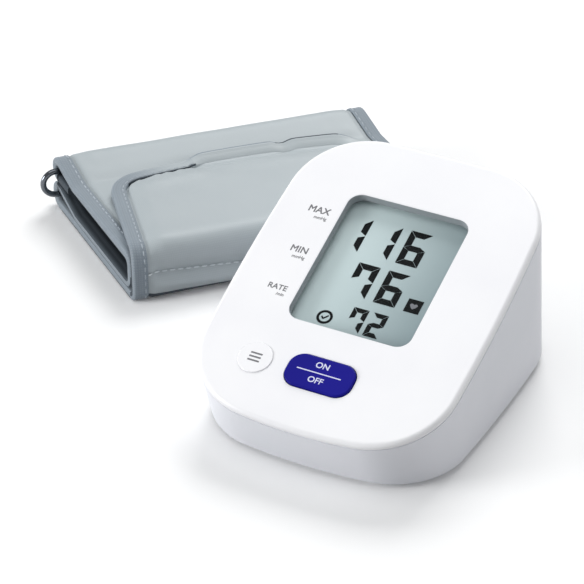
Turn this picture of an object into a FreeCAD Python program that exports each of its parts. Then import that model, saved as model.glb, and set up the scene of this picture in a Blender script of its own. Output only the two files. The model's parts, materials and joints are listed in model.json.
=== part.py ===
import FreeCAD, Part
import math
import os

os.makedirs("parts", exist_ok=True)
V = FreeCAD.Vector

# General values, in millimetres and degrees
WALL = 2.2
FIT = 0.15
RUN = 0.4
OVER = 1.0
RIB = 1.6

# Monitor face, measured in the plane of the sloped face
FACE_TILT = 22.0
FRONT_EDGE_H = 23.1
FACE_HALF_W = 51.5
FACE_HALF_L = 66.4
SIDE_R = 770.0
TOP_R = 1250.0
BOTTOM_R = 192.0
TOP_CORNER_R = 29.7
BOTTOM_CORNER_R = 31.3
FACE_EDGE_R = 1.8
FACE_T = 2.0
LID_DEPTH = 2.4
LIP_DEPTH = 2.0
LIP_T = 1.2

# Monitor base, measured on the table
BASE_FRONT = -53.2
BASE_BACK = 72.5
BASE_HALF_W = 51.2
BASE_CORNER_R = 30.0
BASE_BACK_R = 900.0
EDGE_H = 3.2
EDGE_INSET = 1.4
EDGE_MID_H = 2.0
EDGE_MID_INSET = 0.4
GAP_H = 1.4
GAP_IN = 3.2
GROOVE_H = 0.5
GROOVE_IN = 0.4
RIM_W = 1.6
RIM_H = 1.0
FLOOR_T = 2.2

# Screen
SCREEN_HALF_W = 24.7
SCREEN_V0 = -21.5
SCREEN_V1 = 39.4
SCREEN_CORNER_R = 5.5
SCREEN_DEPTH = 3.5
COLLAR_T = 3.0
LENS_T = 1.5
LCD_GAP = 0.5
LCD_T = 2.8
LCD_MARGIN = 1.2
LCD_FRAME_T = 1.4
ZEBRA_W = 3.0
ZEBRA_INSET = 0.8

# Circuit board, under the face
BOARD_TOP = 12.6
BOARD_T = 1.6
BOARD_HALF_W = 34.0
BOARD_V0 = -54.0
BOARD_V1 = 45.0
BOARD_CORNER_R = 3.0
BOARD_BOSS_R = 2.8
BOARD_SCREW_R = 1.1
BOARD_HEAD_R = 2.2
BOARD_HEAD_T = 1.4
BOARD_SCREW_L = 7.0
BOARD_BOSS_X = 31.0
BOARD_BOSS_V = (-25.0, 41.5)
CHIP_HALF = 6.0
CHIP_H = 1.8
CHIP_V = -12.0
CAN_R = 3.0
CAN_H = 7.0
CAN_X = (12.0, 20.0)
CAN_V = -34.0
BUZZER_R = 6.0
BUZZER_H = 5.0
BUZZER_X = 20.0
BUZZER_V = -19.0
PLUG_HALF_W = 5.0
PLUG_HALF_V = 2.5
PLUG_H = 5.0
PLUG_X = -20.0
PLUG_V = -34.0

# Buttons
START_HALF_W = 13.2
START_HALF_V = 7.1
START_CORNER_R = 5.6
START_X = -0.3
START_V = -41.7
MEMORY_R = 6.6
MEMORY_X = -26.5
MEMORY_V = -42.1
START_RISE = 0.9
START_EDGE_R = 0.7
MEMORY_RISE = 0.4
MEMORY_EDGE_R = 0.3
BUTTON_GAP = 0.35
FLANGE_OUT = 1.3
FLANGE_T = 1.2
FLANGE_GAP = 0.1
STEM_R = 2.4
SWITCH_HALF = 3.0
SWITCH_H = 3.4
PLUNGER_R = 1.7
PLUNGER_RISE = 1.1
PLUNGER_DEEP = 1.6
PLUNGER_WELL = 2.6

# Case screws
CASE_POINTS = ((40.5, -41.0), (42.0, 8.0))
CASE_BOSS_R = 3.4
CASE_BOSS_DEPTH = 18.0
CASE_POST_R = 4.2
CASE_HEAD_R = 2.75
CASE_HEAD_T = 2.2
CASE_SCREW_R = 1.5
CASE_SCREW_L = 10.0
CASE_WEB = 2.4
CASE_PIT_R = 3.1

# Battery bay and cover
CELL_R = 7.25
CELL_L = 49.2
CELL_TIP_R = 2.75
CELL_TIP_L = 1.3
CELL_PITCH = 15.1
CELL_COUNT = 4
CELL_FLOOR_GAP = 0.7
BAY_FRONT = -16.0
BAY_HEAD_ROOM = 0.8
SPRING_WIRE_R = 0.4
SPRING_R = 3.2
SPRING_TURNS = 4
SPRING_STEPS = 12
SPRING_SIDES = 8
SPRING_ROOM = 7.5
CONTACT_T = 0.5
CONTACT_HALF_W = 6.0
CONTACT_H = 10.0
HINGE_R = 2.2
PIN_R = 0.9
PIN_L = 2.4
PIN_GAP = 0.3
COVER_T = 2.0
LATCH_HALF_W = 6.0
LATCH_H = 4.5
LATCH_T = 1.2
FINGER_R = 7.0
FINGER_DEPTH = 1.2

# Feet
FOOT_R = 5.0
FOOT_SINK = 0.8
FOOT_POINTS = ((36.0, -34.0), (36.0, 56.0))

# Air system
PUMP_FROM_BACK = 22.5
MOTOR_R = 11.6
MOTOR_X0 = -4.0
MOTOR_X1 = 28.0
MOTOR_NECK_R = 5.0
MOTOR_NECK_L = 2.0
MOTOR_TAB_T = 0.6
MOTOR_TAB_W = 2.6
MOTOR_TAB_L = 4.0
HEAD_X0 = -33.0
HEAD_HALF = 12.0
HEAD_CORNER_R = 4.0
HEAD_COVER_L = 9.0
HEAD_STEP = 1.2
CRADLE_T = 3.0
CRADLE_HALF_Y = 11.0
CRADLE_POINTS_X = (-24.0, 4.0, 20.0)
NIPPLE_R = 1.6
NIPPLE_L = 6.0
TUBE_R = 2.6
MANIFOLD_X0 = -29.0
MANIFOLD_X1 = -7.0
MANIFOLD_Y = 8.0
MANIFOLD_HALF = 3.4
PUMP_PORT_X = -24.0
SENSOR_PORT_X = -12.0
VALVE_X0 = 8.0
VALVE_X1 = 30.0
VALVE_R = 5.6
VALVE_SEAT = 0.2
VALVE_CAP_R = 4.0
VALVE_CAP_L = 3.0
SENSOR_V = 20.0
SENSOR_HALF = 4.5
SENSOR_H = 4.0
SENSOR_STEM_R = 1.6
SENSOR_STEM_L = 6.0

# Jacks
JACK_Y = -12.0
JACK_Z = 24.0
JACK_BORE_R = 3.1
JACK_BORE_L = 10.0
JACK_BODY_R = 5.0
JACK_LENGTH = 13.0
JACK_PROUD = 0.5
JACK_SEAT = 1.2
JACK_ELBOW = 3.0
DC_X = 22.0
DC_Z = 13.0
DC_HALF = 4.5
DC_LENGTH = 12.0
DC_BORE_R = 2.85
DC_BORE_L = 9.5
DC_PIN_R = 1.0
DC_SINK = 1.0

# Cuff roll, laid on the table behind the monitor
CUFF_X = -108.7
CUFF_Y = 13.2
CUFF_AXIS = 46.2
CUFF_END = 143.0
CUFF_L = 135.3
BAND_T = 3.4
LAYER_GAP = 0.4
ROLL_H = 23.6
NOSE_R = 7.5
NOSE_LOW_R = 3.0
BAR_U = 82.0
BAR_R = 1.25
LOOP_GAP = 0.8
FOLD_GAP = 1.5
BAR_LAYER_GAP = 0.5
LOOP_TAIL = 12.0
TOP_SLOPE = 14.0
INNER_SLOPE = 16.0
BLEND_R = 9.0
FLAP_U = 60.0
FLAP_START = 12.0
FLAP_NOTCH = 2.5
FLAP_TAPER = 13.0
FLAP_CROWN = 4.5
FLAP_CORNER_R = 13.0
TAPE_W = 6.0
TAPE_T = 0.6
BLADDER_T = 1.6
BLADDER_U0 = 20.0
BLADDER_U1 = 57.0
BLADDER_END = 14.0
PAD_T = 0.9
PAD_END = 32.0
PAD_U0 = 26.0
PAD_U1 = 48.0
RING_CLEAR = 0.6
RING_LOW_RISE = 0.9
RING_HIGH_DROP = 0.3
RING_CORNER_R = 3.0
HOSE_U = 35.0
HOSE_FLANGE_R = 8.0
HOSE_FLANGE_T = 1.0
HOSE_POST_R = 3.4
HOSE_TUBE_R = 2.6
HOSE_BORE_R = 1.5
HOSE_COLLAR_R = 3.2
HOSE_COLLAR_L = 2.0
HOSE_SPIGOT_L = 9.0
HOSE_START = 20.0
HOSE_GAP = 0.4


# Derived places
TILT = math.radians(FACE_TILT)
FACE_Z = FRONT_EDGE_H + FACE_HALF_L * math.sin(TILT)
FACE = FreeCAD.Placement(V(0, 0, FACE_Z), FreeCAD.Rotation(V(1, 0, 0), FACE_TILT))
LENS_TOP = -SCREEN_DEPTH
LCD_TOP = LENS_TOP - LENS_T - LCD_GAP
LCD_BOTTOM = LCD_TOP - LCD_T
BOARD_FACE = -BOARD_TOP
BOARD_UNDER = BOARD_FACE - BOARD_T
SWITCH_TOP = BOARD_FACE + SWITCH_H
PLUNGER_TOP = SWITCH_TOP + PLUNGER_RISE
FLOOR_TOP = RIM_H + FLOOR_T
BAY_HALF_X = (CELL_L + CELL_TIP_L + 2 * CONTACT_T + SPRING_ROOM) / 2
HINGE_Y = BAY_FRONT + HINGE_R + RUN
HINGE_Z = RIM_H + HINGE_R
CELL_Z = RIM_H + COVER_T + CELL_FLOOR_GAP + CELL_R
CELL_Y0 = HINGE_Y + CELL_PITCH / 2
BAY_BACK = HINGE_Y + CELL_COUNT * CELL_PITCH + RUN
BAY_TOP = CELL_Z + CELL_R + BAY_HEAD_ROOM
BAY_ROOF = BAY_TOP + RIB
PUMP_Y = BASE_BACK - PUMP_FROM_BACK
PUMP_Z = BAY_ROOF + CRADLE_T + HEAD_HALF
MANIFOLD_Z = BAY_ROOF + VALVE_SEAT + VALVE_R
CUFF_ALONG = V(math.cos(math.radians(CUFF_AXIS)), math.sin(math.radians(CUFF_AXIS)), 0)
CUFF_ACROSS = V(math.cos(math.radians(CUFF_END)), math.sin(math.radians(CUFF_END)), 0)
BAND_HALF = BAND_T / 2
ROLL_Z = ROLL_H / 2
NOSE_U = NOSE_R + BAND_HALF
INNER_NOSE_R = NOSE_R - BAND_T - LAYER_GAP
OUTER_REACH = ROLL_Z - BAND_HALF
INNER_REACH = OUTER_REACH - BAND_T - LAYER_GAP
NOSE_FLAT = 2 * (OUTER_REACH - NOSE_R)
BAR_FOLD_R = BAR_R + FOLD_GAP + BAND_HALF
LOOP_R = BAR_R + LOOP_GAP + BAND_HALF
LOW_BAR_Z = BAND_HALF + BAR_FOLD_R
LOOP_LOW_Z = LOW_BAR_Z + BAR_FOLD_R + BAND_T + BAR_LAYER_GAP
HIGH_BAR_Z = LOOP_LOW_Z + LOOP_R
RING_LOW_Z = LOW_BAR_Z + RING_LOW_RISE
RING_HIGH_Z = HIGH_BAR_Z - RING_HIGH_DROP
FLAP_Z = ROLL_H - BAND_T
TOP_LAYER_Z = ROLL_Z + INNER_REACH
INNER_LAYER_Z = ROLL_Z - INNER_REACH


def box(x0, x1, y0, y1, z0, z1):
    return Part.makeBox(x1 - x0, y1 - y0, z1 - z0, V(x0, y0, z0))


def rod(radius, start, end):
    way = end.sub(start)
    return Part.makeCylinder(radius, way.Length, start, way)


def prism(wire, low, high):
    face = Part.Face(wire)
    face.translate(V(0, 0, low))
    return face.extrude(V(0, 0, high - low))


def round_rect(x0, x1, y0, y1, r):
    bend = r * (1 - math.sqrt(0.5))
    edges = [
        Part.makeLine(V(x0 + r, y0, 0), V(x1 - r, y0, 0)),
        Part.Arc(V(x1 - r, y0, 0), V(x1 - bend, y0 + bend, 0), V(x1, y0 + r, 0)).toShape(),
        Part.makeLine(V(x1, y0 + r, 0), V(x1, y1 - r, 0)),
        Part.Arc(V(x1, y1 - r, 0), V(x1 - bend, y1 - bend, 0), V(x1 - r, y1, 0)).toShape(),
        Part.makeLine(V(x1 - r, y1, 0), V(x0 + r, y1, 0)),
        Part.Arc(V(x0 + r, y1, 0), V(x0 + bend, y1 - bend, 0), V(x0, y1 - r, 0)).toShape(),
        Part.makeLine(V(x0, y1 - r, 0), V(x0, y0 + r, 0)),
        Part.Arc(V(x0, y0 + r, 0), V(x0 + bend, y0 + bend, 0), V(x0 + r, y0, 0)).toShape(),
    ]
    return Part.Wire(edges)


def corner_centre(side, side_r, end, end_r, corner_r):
    reach_side = side_r - corner_r
    reach_end = end_r - corner_r
    span = end.sub(side)
    gap = span.Length
    along = (reach_side ** 2 - reach_end ** 2 + gap ** 2) / (2 * gap)
    across = math.sqrt(reach_side ** 2 - along ** 2)
    unit = V(span).normalize()
    square = V(-unit.y, unit.x, 0)
    middle = side.add(V(unit).multiply(along))
    first = middle.add(V(square).multiply(across))
    second = middle.sub(V(square).multiply(across))
    return first if first.x > second.x else second


def toward(centre, aim, radius):
    return centre.add(aim.sub(centre).normalize().multiply(radius))


def flip(point):
    return V(-point.x, point.y, point.z)


def case_outline(half_w, front, back, radii, inset):
    side_r, front_r, back_r, front_corner_r, back_corner_r = radii
    middle = (front + back) / 2
    side = V(half_w - side_r, middle, 0)
    low = V(0, front + front_r, 0)
    high = V(0, back - back_r, 0)
    low_corner = corner_centre(side, side_r, low, front_r, front_corner_r)
    high_corner = corner_centre(side, side_r, high, back_r, back_corner_r)
    p1 = toward(low, low_corner, front_r - inset)
    p2 = toward(side, low_corner, side_r - inset)
    p3 = toward(side, high_corner, side_r - inset)
    p4 = toward(high, high_corner, back_r - inset)
    m1 = toward(low_corner, (p1 + p2) * 0.5, front_corner_r - inset)
    m2 = V(half_w - inset, middle, 0)
    m3 = toward(high_corner, (p3 + p4) * 0.5, back_corner_r - inset)
    m4 = V(0, back - inset, 0)
    m0 = V(0, front + inset, 0)
    arcs = [
        (p1, m1, p2),
        (p2, m2, p3),
        (p3, m3, p4),
        (p4, m4, flip(p4)),
        (flip(p4), flip(m3), flip(p3)),
        (flip(p3), flip(m2), flip(p2)),
        (flip(p2), flip(m1), flip(p1)),
        (flip(p1), m0, p1),
    ]
    return Part.Wire([Part.Arc(*arc).toShape() for arc in arcs])


def face_wire(inset):
    radii = (SIDE_R, BOTTOM_R, TOP_R, BOTTOM_CORNER_R, TOP_CORNER_R)
    return case_outline(FACE_HALF_W, -FACE_HALF_L, FACE_HALF_L, radii, inset)


def base_wire(inset, height):
    radii = (SIDE_R, BOTTOM_R, BASE_BACK_R, BASE_CORNER_R, BASE_CORNER_R)
    wire = case_outline(BASE_HALF_W, BASE_FRONT, BASE_BACK, radii, inset)
    wire.translate(V(0, 0, height))
    return wire


def parting_wire(inset, depth):
    wire = face_wire(inset)
    wire.translate(V(0, 0, -depth))
    wire.Placement = FACE.multiply(wire.Placement)
    return wire


def on_face(shape):
    placed = shape.copy()
    placed.Placement = FACE.multiply(placed.Placement)
    return placed


def face_point(x, v, n):
    return FACE.multVec(V(x, v, n))


def mirrored(points):
    pairs = []
    for x, y in points:
        pairs.append((x, y))
        pairs.append((-x, y))
    return pairs


def join(shapes):
    body = shapes[0]
    if len(shapes) > 1:
        body = body.multiFuse(shapes[1:])
    return body.removeSplitter()


def screen_wire(grow):
    half = SCREEN_HALF_W + grow
    corner = SCREEN_CORNER_R + grow
    return round_rect(-half, half, SCREEN_V0 - grow, SCREEN_V1 + grow, corner)


def start_wire(grow):
    corner = START_CORNER_R + grow
    x0 = START_X - START_HALF_W - grow
    x1 = START_X + START_HALF_W + grow
    return round_rect(x0, x1, START_V - START_HALF_V - grow, START_V + START_HALF_V + grow, corner)


def memory_wire(grow):
    circle = Part.makeCircle(MEMORY_R + grow, V(MEMORY_X, MEMORY_V, 0))
    return Part.Wire([circle])


def board_points():
    return mirrored([(BOARD_BOSS_X, v) for v in BOARD_BOSS_V])


# Front cover: face plate, rim, lip, screen collar and bosses
def make_front_cover():
    shell = prism(face_wire(0), -LID_DEPTH, 0)
    top = [e for e in shell.Edges if abs(e.BoundBox.ZMin) < FIT and abs(e.BoundBox.ZMax) < FIT]
    shell = shell.makeFillet(FACE_EDGE_R, top)
    inner = WALL + FIT + LIP_T
    hollow = prism(face_wire(inner), -LID_DEPTH - OVER, -FACE_T)
    lip = prism(face_wire(WALL + FIT), -LID_DEPTH - LIP_DEPTH, -LID_DEPTH)
    lip = lip.cut(prism(face_wire(inner), -LID_DEPTH - LIP_DEPTH - OVER, -LID_DEPTH + OVER))
    solids = [shell.cut(hollow), lip, prism(screen_wire(COLLAR_T), LENS_TOP, -FACE_T)]
    for x, v in board_points():
        solids.append(rod(BOARD_BOSS_R, V(x, v, BOARD_FACE), V(x, v, -FACE_T)))
    for x, v in mirrored(CASE_POINTS):
        solids.append(rod(CASE_BOSS_R, V(x, v, -CASE_BOSS_DEPTH), V(x, v, -FACE_T)))
    cover = join(solids)
    cuts = [prism(screen_wire(0), LENS_TOP - OVER, OVER)]
    cuts.append(prism(start_wire(BUTTON_GAP), -LID_DEPTH, OVER))
    cuts.append(prism(memory_wire(BUTTON_GAP), -LID_DEPTH, OVER))
    for x, v in board_points():
        cuts.append(rod(BOARD_SCREW_R, V(x, v, BOARD_FACE - OVER), V(x, v, BOARD_FACE + BOARD_SCREW_L)))
    for x, v in mirrored(CASE_POINTS):
        bottom = V(x, v, -CASE_BOSS_DEPTH - OVER)
        cuts.append(rod(CASE_SCREW_R, bottom, V(x, v, -CASE_BOSS_DEPTH + CASE_SCREW_L)))
    return on_face(cover.cut(cuts))


# Rear case: tub from the parting plane to the table
def tub_solid(inset, low, depth):
    wires = [parting_wire(inset, depth), base_wire(inset, low)]
    return Part.makeLoft(wires, True, True)


def make_rear_case():
    neck = on_face(prism(face_wire(GROOVE_IN), -LID_DEPTH - GROOVE_H, -LID_DEPTH))
    upper = tub_solid(0, EDGE_H, LID_DEPTH + GROOVE_H)
    edge = Part.makeLoft([base_wire(0, EDGE_H), base_wire(EDGE_MID_INSET, EDGE_MID_H)], True, True)
    under = Part.makeLoft([base_wire(EDGE_MID_INSET, EDGE_MID_H), base_wire(EDGE_INSET, GAP_H)], True, True)
    rim = prism(base_wire(GAP_IN, 0), 0, GAP_H)
    hollow = tub_solid(WALL, FLOOR_TOP, LID_DEPTH - OVER)
    case = upper.multiFuse([neck, edge, under, rim]).cut(hollow)
    case = case.cut(prism(base_wire(GAP_IN + RIM_W, 0), -OVER, RIM_H))
    walls = [bay_block()]
    for x, v in mirrored(CASE_POINTS):
        walls.append(case_post(x, v))
    walls.extend(cradle_ribs())
    walls.append(valve_bed())
    inside = tub_solid(WALL - FIT, FLOOR_TOP - FIT, LID_DEPTH)
    case = join([case] + [wall.common(inside) for wall in walls])
    cuts = [bay_space(), hinge_holes(), jack_hole(), dc_hole(), finger_dip(), lip_way()]
    for x, v in mirrored(CASE_POINTS):
        cuts.extend(screw_way(x, v))
    for x, y in mirrored(FOOT_POINTS):
        cuts.append(rod(FOOT_R, V(x, y, 0), V(x, y, RIM_H + FOOT_SINK)))
    return case.cut(cuts)


def lip_way():
    return on_face(prism(face_wire(WALL + FIT / 2), -LID_DEPTH - LIP_DEPTH - RUN, -LID_DEPTH + OVER))


def bay_block():
    half = BAY_HALF_X + RIB + PIN_L
    return box(-half, half, BAY_FRONT - RIB, BAY_BACK + RIB, RIM_H, BAY_ROOF)


def bay_space():
    return box(-BAY_HALF_X, BAY_HALF_X, BAY_FRONT, BAY_BACK, -OVER, BAY_TOP)


def hinge_holes():
    reach = BAY_HALF_X + PIN_L + RUN
    return rod(PIN_R + PIN_GAP, V(-reach, HINGE_Y, HINGE_Z), V(reach, HINGE_Y, HINGE_Z))


def finger_dip():
    return rod(FINGER_R, V(0, BAY_BACK, 0), V(0, BAY_BACK, RIM_H + FINGER_DEPTH))


def case_post(x, v):
    top = V(x, v, -CASE_BOSS_DEPTH)
    bottom = V(x, v, -FACE_Z / math.cos(TILT))
    return on_face(rod(CASE_POST_R, bottom, top))


def screw_way(x, v):
    top = -CASE_BOSS_DEPTH
    low = -FACE_Z / math.cos(TILT) - FACE_HALF_L * math.tan(TILT)
    pit = rod(CASE_PIT_R, V(x, v, low), V(x, v, top - CASE_WEB))
    hole = rod(CASE_SCREW_R + FIT, V(x, v, top - CASE_WEB - OVER), V(x, v, top + OVER))
    return [on_face(pit), on_face(hole)]


def cradle_ribs():
    ribs = []
    for x in CRADLE_POINTS_X:
        y0 = PUMP_Y - CRADLE_HALF_Y
        rib = box(x - CRADLE_T / 2, x + CRADLE_T / 2, y0, BASE_BACK, RIM_H, PUMP_Z - CRADLE_HALF_Y / 2)
        ribs.append(rib.cut(pump_space(x)))
    return ribs


def pump_space(x):
    if x < MOTOR_X0:
        reach = HEAD_HALF + CRADLE_T
        return box(HEAD_X0, MOTOR_X0, PUMP_Y - reach, PUMP_Y + reach, PUMP_Z - reach, PUMP_Z + reach)
    return rod(MOTOR_R + CRADLE_T, V(MOTOR_X0, PUMP_Y, PUMP_Z), V(MOTOR_X1, PUMP_Y, PUMP_Z))


def valve_bed():
    y0 = MANIFOLD_Y - VALVE_R
    y1 = MANIFOLD_Y + VALVE_R
    bed = box(VALVE_X0, VALVE_X1, y0, y1, BAY_TOP, MANIFOLD_Z - VALVE_R / 2)
    start = V(VALVE_X0 - OVER, MANIFOLD_Y, MANIFOLD_Z)
    return bed.cut(rod(VALVE_R, start, V(VALVE_X1 + OVER, MANIFOLD_Y, MANIFOLD_Z)))


def jack_hole():
    start = V(-FACE_HALF_W - OVER, JACK_Y, JACK_Z)
    return rod(JACK_BODY_R, start, V(-FACE_HALF_W + JACK_LENGTH, JACK_Y, JACK_Z))


def dc_hole():
    x0 = DC_X - DC_HALF
    x1 = DC_X + DC_HALF
    y0 = BASE_BACK - DC_SINK - DC_LENGTH
    return box(x0, x1, y0, BASE_BACK + OVER, DC_Z - DC_HALF, DC_Z + DC_HALF)


# Screen stack
def make_screen_lens():
    return on_face(prism(screen_wire(COLLAR_T), LENS_TOP - LENS_T, LENS_TOP))


def make_lcd_panel():
    return on_face(prism(screen_wire(LCD_MARGIN), LCD_BOTTOM, LCD_TOP))


def make_lcd_frame():
    outer = prism(screen_wire(LCD_MARGIN + LCD_FRAME_T), BOARD_FACE, LENS_TOP - LENS_T)
    return on_face(outer.cut(prism(screen_wire(LCD_MARGIN), BOARD_FACE - OVER, OVER)))


def make_zebra_strips():
    strips = []
    for v in (SCREEN_V0 + ZEBRA_INSET, SCREEN_V1 - ZEBRA_INSET - ZEBRA_W):
        half = SCREEN_HALF_W - SCREEN_CORNER_R
        strips.append(box(-half, half, v, v + ZEBRA_W, BOARD_FACE, LCD_BOTTOM))
    return on_face(Part.makeCompound(strips))


# Circuit board and what it carries
def make_main_board():
    wire = round_rect(-BOARD_HALF_W, BOARD_HALF_W, BOARD_V0, BOARD_V1, BOARD_CORNER_R)
    board = prism(wire, BOARD_UNDER, BOARD_FACE)
    holes = []
    for x, v in board_points():
        holes.append(rod(BOARD_SCREW_R + FIT, V(x, v, BOARD_UNDER - OVER), V(x, v, BOARD_FACE + OVER)))
    return on_face(board.cut(holes))


def make_board_screws():
    screws = []
    for x, v in board_points():
        shank = rod(BOARD_SCREW_R, V(x, v, BOARD_UNDER), V(x, v, BOARD_FACE + BOARD_SCREW_L - FIT))
        head = rod(BOARD_HEAD_R, V(x, v, BOARD_UNDER - BOARD_HEAD_T), V(x, v, BOARD_UNDER))
        screws.append(shank.fuse(head))
    return on_face(Part.makeCompound(screws))


def make_board_components():
    under = BOARD_UNDER
    chip = box(-CHIP_HALF, CHIP_HALF, CHIP_V - CHIP_HALF, CHIP_V + CHIP_HALF, under - CHIP_H, under)
    items = [chip]
    for x in CAN_X:
        items.append(rod(CAN_R, V(x, CAN_V, under - CAN_H), V(x, CAN_V, under)))
    items.append(rod(BUZZER_R, V(BUZZER_X, BUZZER_V, under - BUZZER_H), V(BUZZER_X, BUZZER_V, under)))
    x0 = PLUG_X - PLUG_HALF_W
    x1 = PLUG_X + PLUG_HALF_W
    items.append(box(x0, x1, PLUG_V - PLUG_HALF_V, PLUG_V + PLUG_HALF_V, under - PLUG_H, under))
    return on_face(Part.makeCompound(items))


def make_pressure_sensor():
    x0 = SENSOR_PORT_X - SENSOR_HALF
    x1 = SENSOR_PORT_X + SENSOR_HALF
    low = BOARD_UNDER - SENSOR_H
    block = box(x0, x1, SENSOR_V - SENSOR_HALF, SENSOR_V + SENSOR_HALF, low, BOARD_UNDER)
    start = V(SENSOR_PORT_X, SENSOR_V, low)
    stem = rod(SENSOR_STEM_R, start, V(SENSOR_PORT_X, SENSOR_V, low - SENSOR_STEM_L))
    return on_face(block.fuse(stem))


# Buttons with their switches
def button(wire_of, x, v, rise, edge_r):
    cap = prism(wire_of(0), -FACE_T - FLANGE_GAP, rise)
    edge = [e for e in cap.Edges if e.BoundBox.ZMin > rise - FIT]
    cap = cap.makeFillet(edge_r, edge)
    flange = prism(wire_of(FLANGE_OUT), -FACE_T - FLANGE_GAP - FLANGE_T, -FACE_T - FLANGE_GAP)
    stem = rod(STEM_R, V(x, v, PLUNGER_TOP), V(x, v, -FACE_T - FLANGE_GAP - FLANGE_T))
    return on_face(join([cap, flange, stem]))


def make_start_button():
    return button(start_wire, START_X, START_V, START_RISE, START_EDGE_R)


def make_memory_button():
    return button(memory_wire, MEMORY_X, MEMORY_V, MEMORY_RISE, MEMORY_EDGE_R)


def make_switch_bodies():
    bodies = []
    for x, v in ((START_X, START_V), (MEMORY_X, MEMORY_V)):
        half = SWITCH_HALF
        block = box(x - half, x + half, v - half, v + half, BOARD_FACE, SWITCH_TOP)
        well = rod(PLUNGER_R + PIN_GAP, V(x, v, SWITCH_TOP - PLUNGER_WELL), V(x, v, SWITCH_TOP + OVER))
        bodies.append(block.cut(well))
    return on_face(Part.makeCompound(bodies))


def plunger(x, v):
    return on_face(rod(PLUNGER_R, V(x, v, SWITCH_TOP - PLUNGER_DEEP), V(x, v, PLUNGER_TOP)))


# Case screws and feet
def make_case_screws():
    screws = []
    for x, v in mirrored(CASE_POINTS):
        seat = -CASE_BOSS_DEPTH - CASE_WEB
        shank = rod(CASE_SCREW_R, V(x, v, seat), V(x, v, -CASE_BOSS_DEPTH + CASE_SCREW_L - FIT))
        head = rod(CASE_HEAD_R, V(x, v, seat - CASE_HEAD_T), V(x, v, seat))
        screws.append(shank.fuse(head))
    return on_face(Part.makeCompound(screws))


def make_feet():
    feet = [rod(FOOT_R, V(x, y, 0), V(x, y, RIM_H + FOOT_SINK)) for x, y in mirrored(FOOT_POINTS)]
    return Part.makeCompound(feet)


# Battery bay
def cell_rows():
    return [CELL_Y0 + CELL_PITCH * row for row in range(CELL_COUNT)]


def cell_side(row):
    return 1 if row % 2 else -1


def make_battery_cells():
    cells = []
    for row, y in enumerate(cell_rows()):
        side = cell_side(row)
        tip = side * (BAY_HALF_X - CONTACT_T)
        shoulder = tip - side * CELL_TIP_L
        tail = shoulder - side * CELL_L
        can = rod(CELL_R, V(tail, y, CELL_Z), V(shoulder, y, CELL_Z))
        cells.append(can.fuse(rod(CELL_TIP_R, V(shoulder, y, CELL_Z), V(tip, y, CELL_Z))))
    return Part.makeCompound(cells)


def make_battery_contacts():
    plates = []
    for y in cell_rows():
        for side in (-1, 1):
            x0, x1 = sorted((side * BAY_HALF_X, side * (BAY_HALF_X - CONTACT_T)))
            low = CELL_Z - CONTACT_H / 2
            half = CONTACT_HALF_W
            plates.append(box(x0, x1, y - half, y + half, low, low + CONTACT_H))
    return Part.makeCompound(plates)


def coil_ring(turns, length):
    angle = 2 * math.pi * turns
    ring = []
    for side in range(SPRING_SIDES):
        around = 2 * math.pi * side / SPRING_SIDES
        reach = SPRING_R + SPRING_WIRE_R * math.cos(around)
        x = length * turns / SPRING_TURNS + SPRING_WIRE_R * math.sin(around)
        ring.append(V(x, reach * math.cos(angle), reach * math.sin(angle)))
    return ring


def flat_face(points):
    return Part.Face(Part.makePolygon(points + points[:1]))


def coil(length):
    rings = [coil_ring(step / SPRING_STEPS, length) for step in range(SPRING_TURNS * SPRING_STEPS + 1)]
    faces = [flat_face(rings[0]), flat_face(rings[-1])]
    for ring, after in zip(rings, rings[1:]):
        for side in range(SPRING_SIDES):
            beyond = (side + 1) % SPRING_SIDES
            faces.append(flat_face([ring[side], ring[beyond], after[beyond]]))
            faces.append(flat_face([ring[side], after[beyond], after[side]]))
    return Part.Solid(Part.Shell(faces))


def make_battery_springs():
    springs = []
    for row, y in enumerate(cell_rows()):
        side = cell_side(row)
        wall = -side * (BAY_HALF_X - CONTACT_T - SPRING_WIRE_R)
        cell_end = side * (BAY_HALF_X - CONTACT_T - CELL_TIP_L - CELL_L - SPRING_WIRE_R)
        spring = coil(abs(cell_end - wall))
        spring.translate(V(min(wall, cell_end), y, CELL_Z))
        springs.append(spring)
    return Part.makeCompound(springs)


def make_battery_cover():
    x0 = -BAY_HALF_X + RUN
    x1 = BAY_HALF_X - RUN
    back = BAY_BACK - RUN
    plate = box(x0, x1, HINGE_Y, back, RIM_H, RIM_H + COVER_T)
    barrel = rod(HINGE_R, V(x0, HINGE_Y, HINGE_Z), V(x1, HINGE_Y, HINGE_Z))
    reach = BAY_HALF_X + PIN_L
    pin = rod(PIN_R, V(-reach, HINGE_Y, HINGE_Z), V(reach, HINGE_Y, HINGE_Z))
    tongue = box(-LATCH_HALF_W, LATCH_HALF_W, back - LATCH_T, back, RIM_H, RIM_H + LATCH_H)
    return join([plate, barrel, pin, tongue])


# Air system
def pump_axis_point(x):
    return V(x, PUMP_Y, PUMP_Z)


def make_pump_motor():
    can = rod(MOTOR_R, pump_axis_point(MOTOR_X0), pump_axis_point(MOTOR_X1))
    neck = rod(MOTOR_NECK_R, pump_axis_point(MOTOR_X1), pump_axis_point(MOTOR_X1 + MOTOR_NECK_L))
    tabs = []
    for side in (-1, 1):
        z = PUMP_Z + side * MOTOR_R / 2
        y0 = PUMP_Y - MOTOR_TAB_W / 2
        x1 = MOTOR_X1 + MOTOR_TAB_L
        tabs.append(box(MOTOR_X1, x1, y0, y0 + MOTOR_TAB_W, z, z + MOTOR_TAB_T))
    return join([can, neck] + tabs)


def head_block(x0, x1, half):
    wire = round_rect(-half, half, -half, half, HEAD_CORNER_R)
    block = prism(wire, 0, x1 - x0)
    block.rotate(V(0, 0, 0), V(0, 1, 0), 90)
    block.translate(V(x0, PUMP_Y, PUMP_Z))
    return block


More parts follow.
